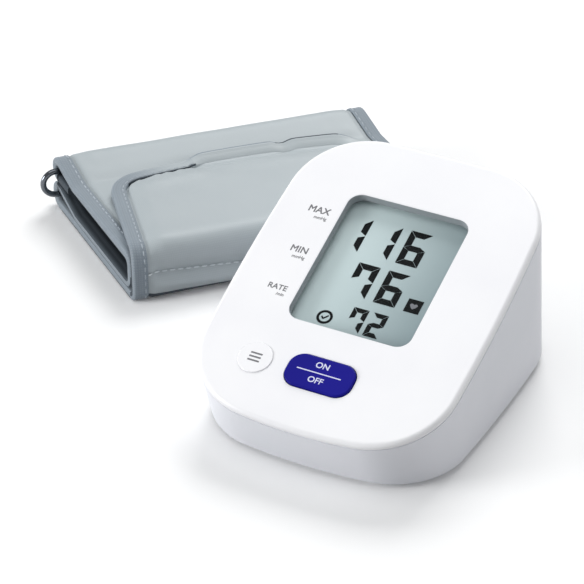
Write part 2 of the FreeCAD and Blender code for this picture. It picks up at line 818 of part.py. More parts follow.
def make_pump_head():
    base = head_block(HEAD_X0 + HEAD_COVER_L, MOTOR_X0, HEAD_HALF)
    lid = head_block(HEAD_X0, HEAD_X0 + HEAD_COVER_L, HEAD_HALF - HEAD_STEP)
    port = pump_port()
    nipple = rod(NIPPLE_R, port, port.sub(V(0, NIPPLE_L, 0)))
    return join([base, lid, nipple])


def make_pump_cradle():
    pads = []
    for x in CRADLE_POINTS_X:
        x0 = x - CRADLE_T / 2
        x1 = x + CRADLE_T / 2
        y0 = PUMP_Y - CRADLE_HALF_Y
        y1 = PUMP_Y + CRADLE_HALF_Y
        pad = box(x0, x1, y0, y1, PUMP_Z - HEAD_HALF - CRADLE_T, PUMP_Z - CRADLE_HALF_Y / 2)
        pad = pad.common(pump_space(x))
        if x < MOTOR_X0:
            pads.append(pad.cut(head_block(HEAD_X0, MOTOR_X0, HEAD_HALF)))
        else:
            pads.append(pad.cut(rod(MOTOR_R, pump_axis_point(MOTOR_X0), pump_axis_point(MOTOR_X1))))
    return Part.makeCompound(pads)


def make_release_valve():
    start = V(VALVE_X0, MANIFOLD_Y, MANIFOLD_Z)
    can = rod(VALVE_R, start, V(VALVE_X1, MANIFOLD_Y, MANIFOLD_Z))
    cap = rod(VALVE_CAP_R, V(VALVE_X0 - VALVE_CAP_L, MANIFOLD_Y, MANIFOLD_Z), start)
    tip = V(VALVE_X0 - VALVE_CAP_L - NIPPLE_L, MANIFOLD_Y, MANIFOLD_Z)
    nipple = rod(NIPPLE_R, tip, V(VALVE_X0 - VALVE_CAP_L, MANIFOLD_Y, MANIFOLD_Z))
    return join([can, cap, nipple])


def make_air_manifold():
    half = MANIFOLD_HALF
    y0 = MANIFOLD_Y - half
    y1 = MANIFOLD_Y + half
    bar = box(MANIFOLD_X0, MANIFOLD_X1, y0, y1, MANIFOLD_Z - half, MANIFOLD_Z + half)
    foot = box(MANIFOLD_X0, MANIFOLD_X1, y0, y1, BAY_ROOF, MANIFOLD_Z)
    solids = [bar, foot]
    for x in (PUMP_PORT_X, SENSOR_PORT_X):
        solids.append(rod(NIPPLE_R, V(x, y1, MANIFOLD_Z), V(x, y1 + NIPPLE_L, MANIFOLD_Z)))
    left = V(MANIFOLD_X0 - NIPPLE_L, MANIFOLD_Y, MANIFOLD_Z)
    solids.append(rod(NIPPLE_R, left, V(MANIFOLD_X0, MANIFOLD_Y, MANIFOLD_Z)))
    right = V(MANIFOLD_X1 + NIPPLE_L, MANIFOLD_Y, MANIFOLD_Z)
    solids.append(rod(NIPPLE_R, V(MANIFOLD_X1, MANIFOLD_Y, MANIFOLD_Z), right))
    return join(solids)


def tube(start, leave, end, arrive):
    leave = V(leave).normalize()
    arrive = V(arrive).normalize()
    out = start + leave * NIPPLE_L
    back = end - arrive * NIPPLE_L
    pull = back.sub(out).Length / 3
    bend = Part.BezierCurve()
    bend.setPoles([out, out + leave * pull, back - arrive * pull, back])
    path = Part.Wire([Part.makeLine(start, out), bend.toShape(), Part.makeLine(back, end)])
    pipes = []
    for radius in (TUBE_R, NIPPLE_R + FIT):
        circle = Part.Wire([Part.makeCircle(radius, start, leave)])
        pipes.append(path.makePipeShell([circle], True, True))
    return pipes[0].cut(pipes[1])


def jack_end():
    return V(-FACE_HALF_W + JACK_SEAT + JACK_LENGTH, JACK_Y, JACK_Z)


def jack_port():
    return jack_end().add(V(-JACK_ELBOW, JACK_BODY_R, 0))


def pump_port():
    return V(PUMP_PORT_X - HEAD_COVER_L / 2, PUMP_Y - HEAD_HALF + HEAD_STEP, PUMP_Z)


def make_air_tubes():
    back = MANIFOLD_Y + MANIFOLD_HALF
    low = BOARD_UNDER - SENSOR_H
    sensor = face_point(SENSOR_PORT_X, SENSOR_V, low)
    down = face_point(SENSOR_PORT_X, SENSOR_V, low - SENSOR_STEM_L).sub(sensor)
    left = V(MANIFOLD_X0, MANIFOLD_Y, MANIFOLD_Z)
    right = V(MANIFOLD_X1, MANIFOLD_Y, MANIFOLD_Z)
    valve = V(VALVE_X0 - VALVE_CAP_L, MANIFOLD_Y, MANIFOLD_Z)
    toward_front = V(0, -1, 0)
    tubes = [
        tube(pump_port(), toward_front, V(PUMP_PORT_X, back, MANIFOLD_Z), toward_front),
        tube(sensor, down, V(SENSOR_PORT_X, back, MANIFOLD_Z), toward_front),
        tube(jack_port(), V(0, 1, 0), left, V(1, 0, 0)),
        rod(TUBE_R, right, valve).cut(rod(NIPPLE_R + FIT, right, valve)),
    ]
    return Part.makeCompound(tubes)


# Jacks in the case walls
def make_air_jack():
    outer = V(-FACE_HALF_W - JACK_PROUD, JACK_Y, JACK_Z)
    body = rod(JACK_BODY_R, outer, jack_end())
    elbow = jack_port()
    nipple = rod(NIPPLE_R, V(elbow.x, JACK_Y, JACK_Z), elbow.add(V(0, NIPPLE_L, 0)))
    bore = rod(JACK_BORE_R, outer.sub(V(OVER, 0, 0)), outer.add(V(JACK_BORE_L, 0, 0)))
    return join([body, nipple]).cut(bore)


def make_dc_jack():
    y1 = BASE_BACK - DC_SINK
    y0 = y1 - DC_LENGTH
    block = box(DC_X - DC_HALF, DC_X + DC_HALF, y0, y1, DC_Z - DC_HALF, DC_Z + DC_HALF)
    bore = rod(DC_BORE_R, V(DC_X, y1 - DC_BORE_L, DC_Z), V(DC_X, y1 + OVER, DC_Z))
    pin = rod(DC_PIN_R, V(DC_X, y1 - DC_BORE_L, DC_Z), V(DC_X, y1 - DC_SINK, DC_Z))
    return block.cut(bore).fuse(pin)


# Cuff roll: one band wound through the ring, drawn as its section
def cuff_point(u, along, z):
    return V(CUFF_X, CUFF_Y, z) + CUFF_ACROSS * u + CUFF_ALONG * along


def bend_run(rise, slope):
    angle = math.radians(slope)
    straight = (rise - 2 * BLEND_R * (1 - math.cos(angle))) / math.sin(angle)
    reach = straight * math.cos(angle) + 2 * BLEND_R * math.sin(angle)
    return straight, reach


def band_steps():
    drop, drop_reach = bend_run(HIGH_BAR_Z + LOOP_R - TOP_LAYER_Z, TOP_SLOPE)
    rise, rise_reach = bend_run(LOW_BAR_Z + BAR_FOLD_R - INNER_LAYER_Z, INNER_SLOPE)
    flat = BAR_U - NOSE_U
    tuck = NOSE_R - NOSE_LOW_R
    return [
        (0, LOOP_TAIL),
        (180, LOOP_R),
        (TOP_SLOPE, BLEND_R),
        (0, drop),
        (-TOP_SLOPE, BLEND_R),
        (0, flat - drop_reach),
        (90, INNER_NOSE_R),
        (0, NOSE_FLAT),
        (90, INNER_NOSE_R),
        (0, flat - rise_reach),
        (INNER_SLOPE, BLEND_R),
        (0, rise),
        (-INNER_SLOPE, BLEND_R),
        (-180, BAR_FOLD_R),
        (0, flat + tuck),
        (-90, NOSE_LOW_R),
        (0, NOSE_FLAT + tuck),
        (-90, NOSE_R),
        (0, FLAP_U + FLAP_CROWN - NOSE_U),
    ]


def walk(u, z, heading, turn, size, share):
    aim = math.radians(heading)
    if turn == 0:
        return u + math.cos(aim) * size * share, z + math.sin(aim) * size * share, heading
    side = 1 if turn > 0 else -1
    after = math.radians(heading + turn * share)
    centre_u = u - math.sin(aim) * size * side
    centre_z = z + math.cos(aim) * size * side
    new_u = centre_u + math.sin(after) * size * side
    new_z = centre_z - math.cos(after) * size * side
    return new_u, new_z, heading + turn * share


def beside(state, off):
    u, z, heading = state
    aim = math.radians(heading)
    return cuff_point(u - math.sin(aim) * off, 0, z + math.cos(aim) * off)


def band_face(thickness):
    half = thickness / 2
    state = (BAR_U - LOOP_TAIL, LOOP_LOW_Z, 0)
    rows = {half: [], -half: []}
    first = state
    for turn, size in band_steps():
        middle = walk(*state, turn, size, 0.5)
        end = walk(*state, turn, size, 1)
        for off, edges in rows.items():
            if turn == 0:
                edges.append(Part.makeLine(beside(state, off), beside(end, off)))
            else:
                edges.append(Part.Arc(beside(state, off), beside(middle, off), beside(end, off)).toShape())
        state = end
    caps = [Part.makeLine(beside(s, half), beside(s, -half)) for s in (first, state)]
    edges = rows[half] + [caps[1]] + rows[-half][::-1] + [caps[0]]
    return Part.Face(Part.Wire(edges))


def band_solid(thickness, start, end):
    face = band_face(thickness)
    face.translate(CUFF_ALONG * start)
    return face.extrude(CUFF_ALONG * (end - start))


def cuff_slab(points, low, high):
    ring = [cuff_point(u, along, low) for u, along in points]
    return Part.Face(Part.makePolygon(ring + ring[:1])).extrude(V(0, 0, high - low))


def cuff_block(u0, u1, a0, a1, low, high):
    return cuff_slab([(u0, a0), (u1, a0), (u1, a1), (u0, a1)], low, high)


def flap_slab(inset, low, high):
    run = FLAP_U - FLAP_START
    lean = math.atan2(FLAP_TAPER - FLAP_NOTCH, run)
    shift = inset / math.cos(lean)
    end_u = FLAP_U - inset
    corner = FLAP_CORNER_R - inset
    start_a = FLAP_NOTCH + shift
    end_a = FLAP_NOTCH + shift + math.tan(lean) * (end_u - FLAP_START)
    left = [cuff_point(FLAP_START, start_a, low), cuff_point(end_u, end_a, low)]
    right = [cuff_point(end_u, CUFF_L - end_a, low), cuff_point(FLAP_START, CUFF_L - start_a, low)]
    crown = cuff_point(end_u + FLAP_CROWN, CUFF_L / 2, low)
    end_arc = Part.Arc(left[1], crown, right[0]).toShape()
    rest = Part.makePolygon([right[0], right[1], left[0], left[1]])
    slab = Part.Face(Part.Wire([end_arc] + rest.Edges)).extrude(V(0, 0, high - low))
    ends = [e for e in slab.Edges if near_flap_end(e, end_u)]
    return slab.makeFillet(corner, ends)


def near_flap_end(edge, end_u):
    middle = edge.CenterOfMass
    upright = edge.BoundBox.ZLength > edge.BoundBox.XLength + edge.BoundBox.YLength
    away = middle.sub(cuff_point(end_u, 0, middle.z))
    square = V(-CUFF_ALONG.y, CUFF_ALONG.x, 0)
    return upright and abs(away.dot(square)) < FIT


def flap_waste():
    low = FLAP_Z - LAYER_GAP / 2
    end_u = FLAP_U + FLAP_CROWN + OVER
    block = cuff_block(FLAP_START, end_u, -OVER, CUFF_L + OVER, low, ROLL_H + OVER)
    return block.cut(flap_slab(0, FLAP_Z - OVER, ROLL_H + OVER))


def make_flap_binding():
    tape = flap_slab(0, FLAP_Z, ROLL_H)
    tape = tape.cut(flap_slab(TAPE_W, FLAP_Z - OVER, ROLL_H + OVER))
    tape = tape.cut(flap_slab(TAPE_T, FLAP_Z + TAPE_T, ROLL_H - TAPE_T))
    end_u = FLAP_U + FLAP_CROWN
    return tape.common(cuff_block(FLAP_START, end_u, TAPE_W, CUFF_L - TAPE_W, FLAP_Z, ROLL_H))


def make_binding_left():
    tape = band_solid(BAND_T, 0, TAPE_W)
    core = band_solid(BAND_T - 2 * TAPE_T, TAPE_T, TAPE_W + OVER)
    return tape.cut([core, flap_waste()])


def make_binding_right():
    tape = band_solid(BAND_T, CUFF_L - TAPE_W, CUFF_L)
    core = band_solid(BAND_T - 2 * TAPE_T, CUFF_L - TAPE_W - OVER, CUFF_L - TAPE_T)
    return tape.cut([core, flap_waste()])


def hook_slab():
    low = FLAP_Z - LAYER_GAP / 2
    return cuff_block(PAD_U0, PAD_U1, PAD_END, CUFF_L - PAD_END, low, low + PAD_T)


def loop_slab():
    high = FLAP_Z - LAYER_GAP / 2
    return cuff_block(PAD_U0, PAD_U1, PAD_END, CUFF_L - PAD_END, high - PAD_T, high)


def make_cuff_bladder():
    low = INNER_LAYER_Z - BLADDER_T / 2
    return cuff_block(BLADDER_U0, BLADDER_U1, BLADDER_END, CUFF_L - BLADDER_END, low, low + BLADDER_T)


def make_cuff_band():
    middle = band_solid(BAND_T, TAPE_W, CUFF_L - TAPE_W)
    core = band_solid(BAND_T - 2 * TAPE_T, TAPE_T, CUFF_L - TAPE_T)
    band = middle.fuse(core)
    return band.cut([flap_waste(), make_flap_binding(), hook_slab(), loop_slab(), make_cuff_bladder()])


def make_hose_nipple():
    floor = INNER_LAYER_Z + BAND_HALF
    centre = floor + HOSE_FLANGE_T + HOSE_GAP + HOSE_TUBE_R
    near = CUFF_L - HOSE_START
    collar = CUFF_L + HOSE_COLLAR_L
    tip = collar + HOSE_SPIGOT_L
    seat = cuff_point(HOSE_U, near, floor)
    flange = rod(HOSE_FLANGE_R, seat, cuff_point(HOSE_U, near, floor + HOSE_FLANGE_T))
    post = rod(HOSE_POST_R, seat, cuff_point(HOSE_U, near, centre + HOSE_POST_R))
    pipe = rod(HOSE_TUBE_R, cuff_point(HOSE_U, near, centre), cuff_point(HOSE_U, tip, centre))
    ring = rod(HOSE_COLLAR_R, cuff_point(HOSE_U, CUFF_L, centre), cuff_point(HOSE_U, collar, centre))
    bore = rod(HOSE_BORE_R, cuff_point(HOSE_U, near, centre), cuff_point(HOSE_U, tip + OVER, centre))
    return join([flange, post, pipe, ring]).cut(bore)


def ring_disc(along, z):
    return Part.Face(Part.Wire([Part.makeCircle(BAR_R, cuff_point(BAR_U, along, z), CUFF_ALONG)]))


def make_d_ring():
    middle = (RING_HIGH_Z + RING_LOW_Z) / 2
    left = -RING_CLEAR
    end = CUFF_L + RING_CLEAR + BAR_R
    right = end - RING_CORNER_R
    square = V(-CUFF_ALONG.y, CUFF_ALONG.x, 0)
    pieces = []
    for z in (RING_LOW_Z, RING_HIGH_Z):
        pieces.append(rod(BAR_R, cuff_point(BAR_U, left, z), cuff_point(BAR_U, right, z)))
    pieces.append(ring_disc(left, RING_LOW_Z).revolve(cuff_point(BAR_U, left, middle), square, 180))
    for z, inward, turn in ((RING_LOW_Z, RING_CORNER_R, -90), (RING_HIGH_Z, -RING_CORNER_R, 90)):
        pieces.append(ring_disc(right, z).revolve(cuff_point(BAR_U, right, z + inward), square, turn))
    low = cuff_point(BAR_U, end, RING_LOW_Z + RING_CORNER_R)
    high = cuff_point(BAR_U, end, RING_HIGH_Z - RING_CORNER_R)
    pieces.append(rod(BAR_R, low, high))
    return join(pieces)


PARTS = {
    "front_cover": make_front_cover,
    "rear_case": make_rear_case,
    "screen_lens": make_screen_lens,
    "lcd_panel": make_lcd_panel,
    "lcd_frame": make_lcd_frame,
    "zebra_strips": make_zebra_strips,
    "main_board": make_main_board,
    "board_screws": make_board_screws,
    "board_components": make_board_components,
    "pressure_sensor": make_pressure_sensor,
    "start_button": make_start_button,
    "memory_button": make_memory_button,
    "switch_bodies": make_switch_bodies,
    "start_plunger": lambda: plunger(START_X, START_V),
    "memory_plunger": lambda: plunger(MEMORY_X, MEMORY_V),
    "case_screws": make_case_screws,
    "feet": make_feet,
    "battery_cells": make_battery_cells,
    "battery_contacts": make_battery_contacts,
    "battery_springs": make_battery_springs,
    "battery_cover": make_battery_cover,
    "pump_motor": make_pump_motor,
    "pump_head": make_pump_head,
    "pump_cradle": make_pump_cradle,
    "release_valve": make_release_valve,
    "air_manifold": make_air_manifold,
    "air_tubes": make_air_tubes,
    "air_jack": make_air_jack,
    "dc_jack": make_dc_jack,
    "cuff_band": make_cuff_band,
    "cuff_bladder": make_cuff_bladder,
    "cuff_binding_left": make_binding_left,
    "cuff_binding_right": make_binding_right,
    "flap_binding": make_flap_binding,
    "hook_pad": hook_slab,
    "loop_pad": loop_slab,
    "hose_nipple": make_hose_nipple,
    "d_ring": make_d_ring,
}

for name, make in PARTS.items():
    make().exportStep("parts/" + name + ".step")
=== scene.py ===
# %% [markdown]
# # A blood pressure monitor and its rolled arm cuff
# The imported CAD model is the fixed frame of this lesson: every rigid piece is there at its real size. What is
# missing is how it looks, so each step below adds a finish, a print or a piece of sewn cloth to it.

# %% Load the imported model
import json
import math

import bmesh
import bpy
from mathutils import Matrix, Vector, noise


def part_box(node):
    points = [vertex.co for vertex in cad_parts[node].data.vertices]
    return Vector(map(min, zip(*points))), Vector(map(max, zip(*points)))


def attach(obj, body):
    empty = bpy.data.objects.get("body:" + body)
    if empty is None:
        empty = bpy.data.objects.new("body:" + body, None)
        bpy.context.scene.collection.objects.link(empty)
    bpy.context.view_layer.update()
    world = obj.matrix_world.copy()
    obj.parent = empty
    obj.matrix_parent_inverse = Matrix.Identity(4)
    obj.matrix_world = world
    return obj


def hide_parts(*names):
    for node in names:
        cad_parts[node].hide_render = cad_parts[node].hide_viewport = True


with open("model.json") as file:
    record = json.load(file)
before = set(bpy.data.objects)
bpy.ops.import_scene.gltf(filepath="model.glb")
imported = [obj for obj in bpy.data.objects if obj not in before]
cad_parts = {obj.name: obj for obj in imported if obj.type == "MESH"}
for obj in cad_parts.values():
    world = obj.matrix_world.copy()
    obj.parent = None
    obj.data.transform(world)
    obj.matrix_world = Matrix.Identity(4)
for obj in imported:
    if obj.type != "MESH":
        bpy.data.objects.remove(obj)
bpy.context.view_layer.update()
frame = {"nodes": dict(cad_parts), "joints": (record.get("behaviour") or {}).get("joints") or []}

MM = 0.001

# %% [markdown]
# ## Small tools
# Colours are picked from swatches, which are sRGB, while the shaders work in linear light. One
# function turns the first into the second. Patterns are written by their real size, so a second gives the
# number of repeats in a metre. Others give equal steps from one number to another, and add a shader node with
# its settings and links. The next cell holds what many materials share: smooth noise, a blend of two colours,
# and a surface with gloss and relief.

# %% Colour, scale and node helpers
def linear(hex_colour):
    channels = [int(hex_colour[start:start + 2], 16) / 255 for start in (1, 3, 5)]
    return [c / 12.92 if c <= 0.04045 else ((c + 0.055) / 1.055) ** 2.4 for c in channels] + [1.0]


def repeats(size_mm):
    return 1.0 / (size_mm * MM)


def spaced(first, last, count):
    return [first + (last - first) * step / count for step in range(count + 1)]


def add_node(tree, kind, inputs, **settings):
    node = tree.nodes.new("ShaderNode" + kind)
    for name, value in settings.items():
        setattr(node, name, value)
    for name, value in inputs.items():
        if isinstance(value, bpy.types.NodeSocket):
            tree.links.new(value, node.inputs[name])
        else:
            node.inputs[name].default_value = value
    return node


def start_material(name, values):
    material = bpy.data.materials.new(name)
    material.use_nodes = True
    tree = material.node_tree
    shader = tree.nodes["Principled BSDF"]
    for socket, value in values.items():
        shader.inputs[socket].default_value = value
    return material, tree, shader


print("one millimetre detail repeats", repeats(1), "times in a metre")


# %% What many materials share
def combine(tree, operation, first, second):
    return add_node(tree, "Math", {0: first, 1: second}, operation=operation).outputs["Value"]


def remap(tree, value, limits):
    return add_node(tree, "MapRange", {"Value": value, **limits}).outputs["Result"]


def object_place(tree):
    return add_node(tree, "TexCoord", {}).outputs["Object"]


def cloud(tree, place, size_mm, detail=2.0):
    """Smooth noise with spots of about this size."""
    inputs = {"Vector": place, "Scale": repeats(size_mm), "Detail": detail}
    return add_node(tree, "TexNoise", inputs).outputs["Fac"]


def blend(tree, share, deep, colour, limits=(0.0, 1.0)):
    """From the deep colour to the other one, as the share goes from limit to limit."""
    ramp = add_node(tree, "ValToRGB", {"Fac": share})
    for stop, tint, place in zip(ramp.color_ramp.elements, (deep, colour), limits):
        stop.color = linear(tint)
        stop.position = place
    return ramp.outputs["Color"]


def add_skin(tree, shader, gloss, roughness, spread, relief, strength, depth_mm):
    """Roughness that varies by this spread, and a fine relief."""
    bump = add_node(tree, "Bump", {"Height": relief, "Strength": strength, "Distance": depth_mm * MM})
    limits = {"To Min": roughness - spread, "To Max": roughness + spread}
    tree.links.new(remap(tree, gloss, limits), shader.inputs["Roughness"])
    tree.links.new(bump.outputs["Normal"], shader.inputs["Normal"])


def clouded(name, values, size_mm, detail, deep, colour):
    """A plain material whose colour drifts between two tones."""
    material, tree, shader = start_material(name, values)
    tint = blend(tree, cloud(tree, object_place(tree), size_mm, detail), deep, colour)
    tree.links.new(tint, shader.inputs["Base Color"])
    return material


print("shared helpers ready")

# %% [markdown]
# ## Moulded plastics
# The cases, buttons and jacks are injection moulded ABS. The mould is spark eroded, so the skin has a fine
# grain that breaks up reflections, and the colour drifts a little with the flow of the plastic. The grain is
# about 0.1 mm on the real case. It is drawn three times coarser here, because finer grain would not show.

# %% Moulded plastic
GRAIN_MM = 0.3
FLOW_MM = 40.0
FLOW_LIMITS = (0.35, 0.65)
GLOSS_SPREAD = 0.05


def moulded(name, colour, deep, roughness, ior=1.53, grain=0.05, shine=0.5):
    material, tree, shader = start_material(name, {"IOR": ior, "Specular IOR Level": shine})
    place = object_place(tree)
    tint = blend(tree, cloud(tree, place, FLOW_MM, 3.0), deep, colour, FLOW_LIMITS)
    tree.links.new(tint, shader.inputs["Base Color"])
    skin = cloud(tree, place, GRAIN_MM)
    add_skin(tree, shader, skin, roughness, GLOSS_SPREAD, skin, grain, GRAIN_MM)
    return material


WHITE_ABS = moulded("white_abs_satin", "#F6F6F8", "#F2F2F5", 0.36)
REAR_ABS = moulded("rear_abs_fine_satin", "#ECEDF3", "#E7E9EF", 0.42)
BLUE_ABS = moulded("royal_blue_abs", "#15128A", "#120F80", 0.50, shine=0.10)
GREY_ABS = moulded("grey_abs", "#7B7E84", "#74777D", 0.45)
BLACK_NYLON = moulded("black_glass_filled_nylon", "#1B1C1E", "#222326", 0.55)
RECESS_LINER_GREY = moulded("recess_liner_grey", "#9EA4A8", "#969CA0", 0.60, shine=0.2)
print("moulded plastics", len(bpy.data.materials))

# %% [markdown]
# ## Rubbers, board, metals and glass
# Rubber and silicone are dull and scatter light a little, so their roughness is high and their grain soft.
# The circuit board is glass cloth in epoxy under green solder mask, and the cloth's weave shows through it.
# The screws are zinc plated steel, the battery springs nickel plated, the ring polished chromed wire. The
# cast window is nearly invisible: a trace of body colour and a thin gloss. The reflective display behind it
# is grey green, with painted light in its colour: paler towards its left and top, where the recess shades it,
# and darker towards its lower right.

# %% Rubbers
FOOT_RUBBER = moulded("foot_elastomer_grey", "#D4D6D8", "#CBCDD0", 0.75, ior=1.50, grain=0.15)
CRADLE_RUBBER = moulded("cradle_rubber_black", "#2A2A2C", "#232325", 0.80, ior=1.50, grain=0.20)
BLADDER_RUBBER = moulded("bladder_rubber", "#3C3D40", "#333437", 0.70, ior=1.50, grain=0.20)
TUBE_SILICONE = moulded("tube_silicone", "#E4E3DD", "#DAD9D2", 0.45, ior=1.41, grain=0.05)
TUBE_SILICONE.node_tree.nodes["Principled BSDF"].inputs["Subsurface Weight"].default_value = 0.3
print("rubbers", FOOT_RUBBER.name, CRADLE_RUBBER.name)

# %% Circuit board
BOARD_CLOTH_MM = 0.9
GREENS = {"Color1": linear("#0E5A2C"), "Color2": linear("#0B4C25")}
BOARD_MASK, tree, shader = start_material("fibreglass_board_green_mask", {"Roughness": 0.32, "IOR": 1.55})
weave = {"Vector": object_place(tree), "Scale": repeats(BOARD_CLOTH_MM)}
cloth = add_node(tree, "TexChecker", {**weave, **GREENS})
tree.links.new(cloth.outputs["Color"], shader.inputs["Base Color"])
print("board", BOARD_MASK.name)

# %% Metals
SCRATCH_MM = 0.15
SCRATCH_LONG_MM = 0.9
SCRATCH_SPREAD = 0.3


def metal(name, colour, roughness, scratch):
    material, tree, shader = start_material(name, {"Base Color": linear(colour), "Metallic": 1.0})
    fine = cloud(tree, object_place(tree), SCRATCH_LONG_MM, 5.0)
    add_skin(tree, shader, fine, roughness, roughness * SCRATCH_SPREAD, fine, scratch, SCRATCH_MM)
    return material


ZINC_STEEL = metal("zinc_plated_steel", "#B4B6BA", 0.35, 0.05)
NICKEL = metal("nickel_plated_spring", "#C2C0B8", 0.22, 0.03)
MOTOR_CAN = metal("drawn_motor_can", "#A6A8AC", 0.40, 0.08)
# Painted reflection: the chrome has a dark colour that stands in for dark surroundings mirrored in the wire.
CHROME_PAINTED_DARK = metal("chrome_wire_painted_dark", "#6E7278", 0.14, 0.01)
CELL_JACKET = metal("lacquered_cell_jacket", "#3A3C42", 0.35, 0.02)
print("metals ready")

# %% Clear window and display glass
PAINTED_LIGHT_SLANT = 0.24
PAINTED_LIGHT_LIMITS = {"From Min": -0.97, "From Max": 0.05}
clear = {"Roughness": 0.12, "IOR": 1.49, "Alpha": 0.03}
WINDOW = clouded("clear_acrylic_window", clear, 12.0, 2.0, "#2A3234", "#343C3E")
# Painted light: the display's colour is paler towards its left and top, where the recess shades it, and darker
# towards its lower right.
DISPLAY, tree, shader = start_material("lcd_glass_painted_light", {"Roughness": 0.55, "IOR": 1.52})
place = add_node(tree, "TexCoord", {}).outputs["Generated"]
parts = add_node(tree, "SeparateXYZ", {"Vector": place}).outputs
slope = combine(tree, "SUBTRACT", combine(tree, "MULTIPLY", parts["Y"], PAINTED_LIGHT_SLANT), parts["X"])
tint = blend(tree, remap(tree, slope, PAINTED_LIGHT_LIMITS), "#84979C", "#D8EAEB")
tree.links.new(tint, shader.inputs["Base Color"])
print("window and display ready")

# %% [markdown]
# ## Dress the CAD pieces
# The rigid pieces already have the right shape, so they only take their finish here.

# %% Dress the rigid pieces
FINISHES = (
    (WHITE_ABS, "front_cover", "memory_button"),
    (BLUE_ABS, "start_button"),
    (REAR_ABS, "rear_case", "battery_cover"),
    (GREY_ABS, "lcd_frame", "start_plunger", "memory_plunger", "air_manifold", "air_jack", "hose_nipple"),
    (BLACK_NYLON, "board_components", "pressure_sensor", "switch_bodies", "pump_head", "dc_jack"),
    (FOOT_RUBBER, "feet"),
    (CRADLE_RUBBER, "pump_cradle", "zebra_strips"),
    (TUBE_SILICONE, "air_tubes"),
    (WINDOW, "screen_lens"),
    (DISPLAY, "lcd_panel"),
    (BOARD_MASK, "main_board"),
    (ZINC_STEEL, "board_screws", "case_screws"),
    (NICKEL, "battery_contacts", "battery_springs"),
    (MOTOR_CAN, "pump_motor", "release_valve"),
    (CELL_JACKET, "battery_cells"),
    (CHROME_PAINTED_DARK, "d_ring"),
)
for material, *nodes in FINISHES:
    for node in nodes:
        for holder in frame["nodes"][node].material_slots:
            holder.material = material
print("finishes of the rigid pieces", len(FINISHES))

# %% [markdown]
# ## A ruler on the sloped face
# Prints and display marks are placed on the sloped face, measured across it, up it and out of it. The press
# direction of the start button is square to the face, so the frame itself gives the slope.

# %% Places on the face
press = next(joint for joint in frame["joints"] if joint["name"] == "start_press")
FACE_OUT = -Vector(press["axis"]).normalized()
FACE_ACROSS = Vector((1, 0, 0))
FACE_UP = FACE_OUT.cross(FACE_ACROSS)
face_height = max(vertex.co.dot(FACE_OUT) for vertex in frame["nodes"]["front_cover"].data.vertices)
FACE_MIDDLE = Vector((0, 0, face_height / FACE_OUT.z))


def on_face(across, up, out):
    return FACE_MIDDLE + (FACE_ACROSS * across + FACE_UP * up + FACE_OUT * out) * MM


print("face slope", round(math.degrees(math.acos(FACE_OUT.z)), 2), "degrees")

# %% [markdown]
# ## Pieces from points and faces
# Each new piece is a closed shell with its faces turned outward. It rides on one body of the frame. Flat
# marks are outlines raised into thin plates.

# %% Make a piece
SHARP_ANGLE = 50.0


def add_object(name, data):
    item = bpy.data.objects.new(name, data)
    bpy.context.scene.collection.objects.link(item)
    return item


def mount(name, mesh, body):
    piece = add_object(name, mesh)
    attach(piece, body)
    return piece


def make_piece(name, points, faces, material, body, flat=False):
    mesh = bpy.data.meshes.new(name)
    mesh.from_pydata(points, [], faces)
    mesh.validate()
    work = bmesh.new()
    work.from_mesh(mesh)
    bmesh.ops.recalc_face_normals(work, faces=work.faces)
    work.to_mesh(mesh)
    work.free()
    mesh.update()
    mesh.materials.append(material)
    if not flat:
        mesh.shade_smooth()
        mesh.set_sharp_from_angle(angle=math.radians(SHARP_ANGLE))
    return mount(name, mesh, body)


def strip_faces(rows, count, loop=False):
    """Faces between rings of points, with a cap on both ends unless the last ring joins the first."""
    faces = []
    for row in range(rows if loop else rows - 1):
        here = row * count
        beyond = (row + 1) % rows * count
        for side in range(count):
            after = (side + 1) % count
            faces.append([here + side, here + after, beyond + after, beyond + side])
    if not loop:
        faces.append(list(range(count - 1, -1, -1)))
        faces.append(list(range((rows - 1) * count, rows * count)))
    return faces


def plates(name, outlines, low, high, place, material, body, slot):
    """One piece of flat shapes that stand up from low to high."""
    points = []
    faces = []
    for outline in outlines:
        start = len(points)
        for out in (low, high):
            points.extend(place(x, y, out) for x, y in outline)
        faces.extend([[start + i for i in face] for face in strip_faces(2, len(outline))])
    make_piece(name, points, faces, material, body, flat=True)
    print(name, "plates", len(outlines))


print("edges sharper than", SHARP_ANGLE, "degrees stay sharp")

# %% [markdown]
# ## The display
# The digits of a liquid crystal display are seven bars each, etched into the glass with hairline gaps. Each
# bar is a thin raised plate here, dark and dull, so it also casts its faint shadow on the panel as the real
# crystal does. The bars taper at their ends so that neighbours meet on a slant.

# %% Seven bar digits
DISPLAY_DEPTH = 5.5
BAR_RISE = 0.08
BAR_GAP = 0.13
LIT_BARS = {"1": "bc", "2": "abged", "6": "afgcde", "7": "abcf"}
# Digits, right end, foot, width, height and stroke of a digit, and the step from digit to digit.
DIGIT_ROWS = (
    ("116", 10.7, 17.1, 8.8, 15.8, 2.55, 12.3),
    ("76", 10.3, -2.1, 8.8, 15.2, 2.55, 12.3),
    ("72", 10.2, -17.1, 6.1, 10.8, 1.9, 7.9),
)
dull = {"Roughness": 0.5, "Specular IOR Level": 0.1}
CRYSTAL = clouded("lcd_dark_crystal", dull, 3.0, 2.0, "#06090A", "#0B0F11")


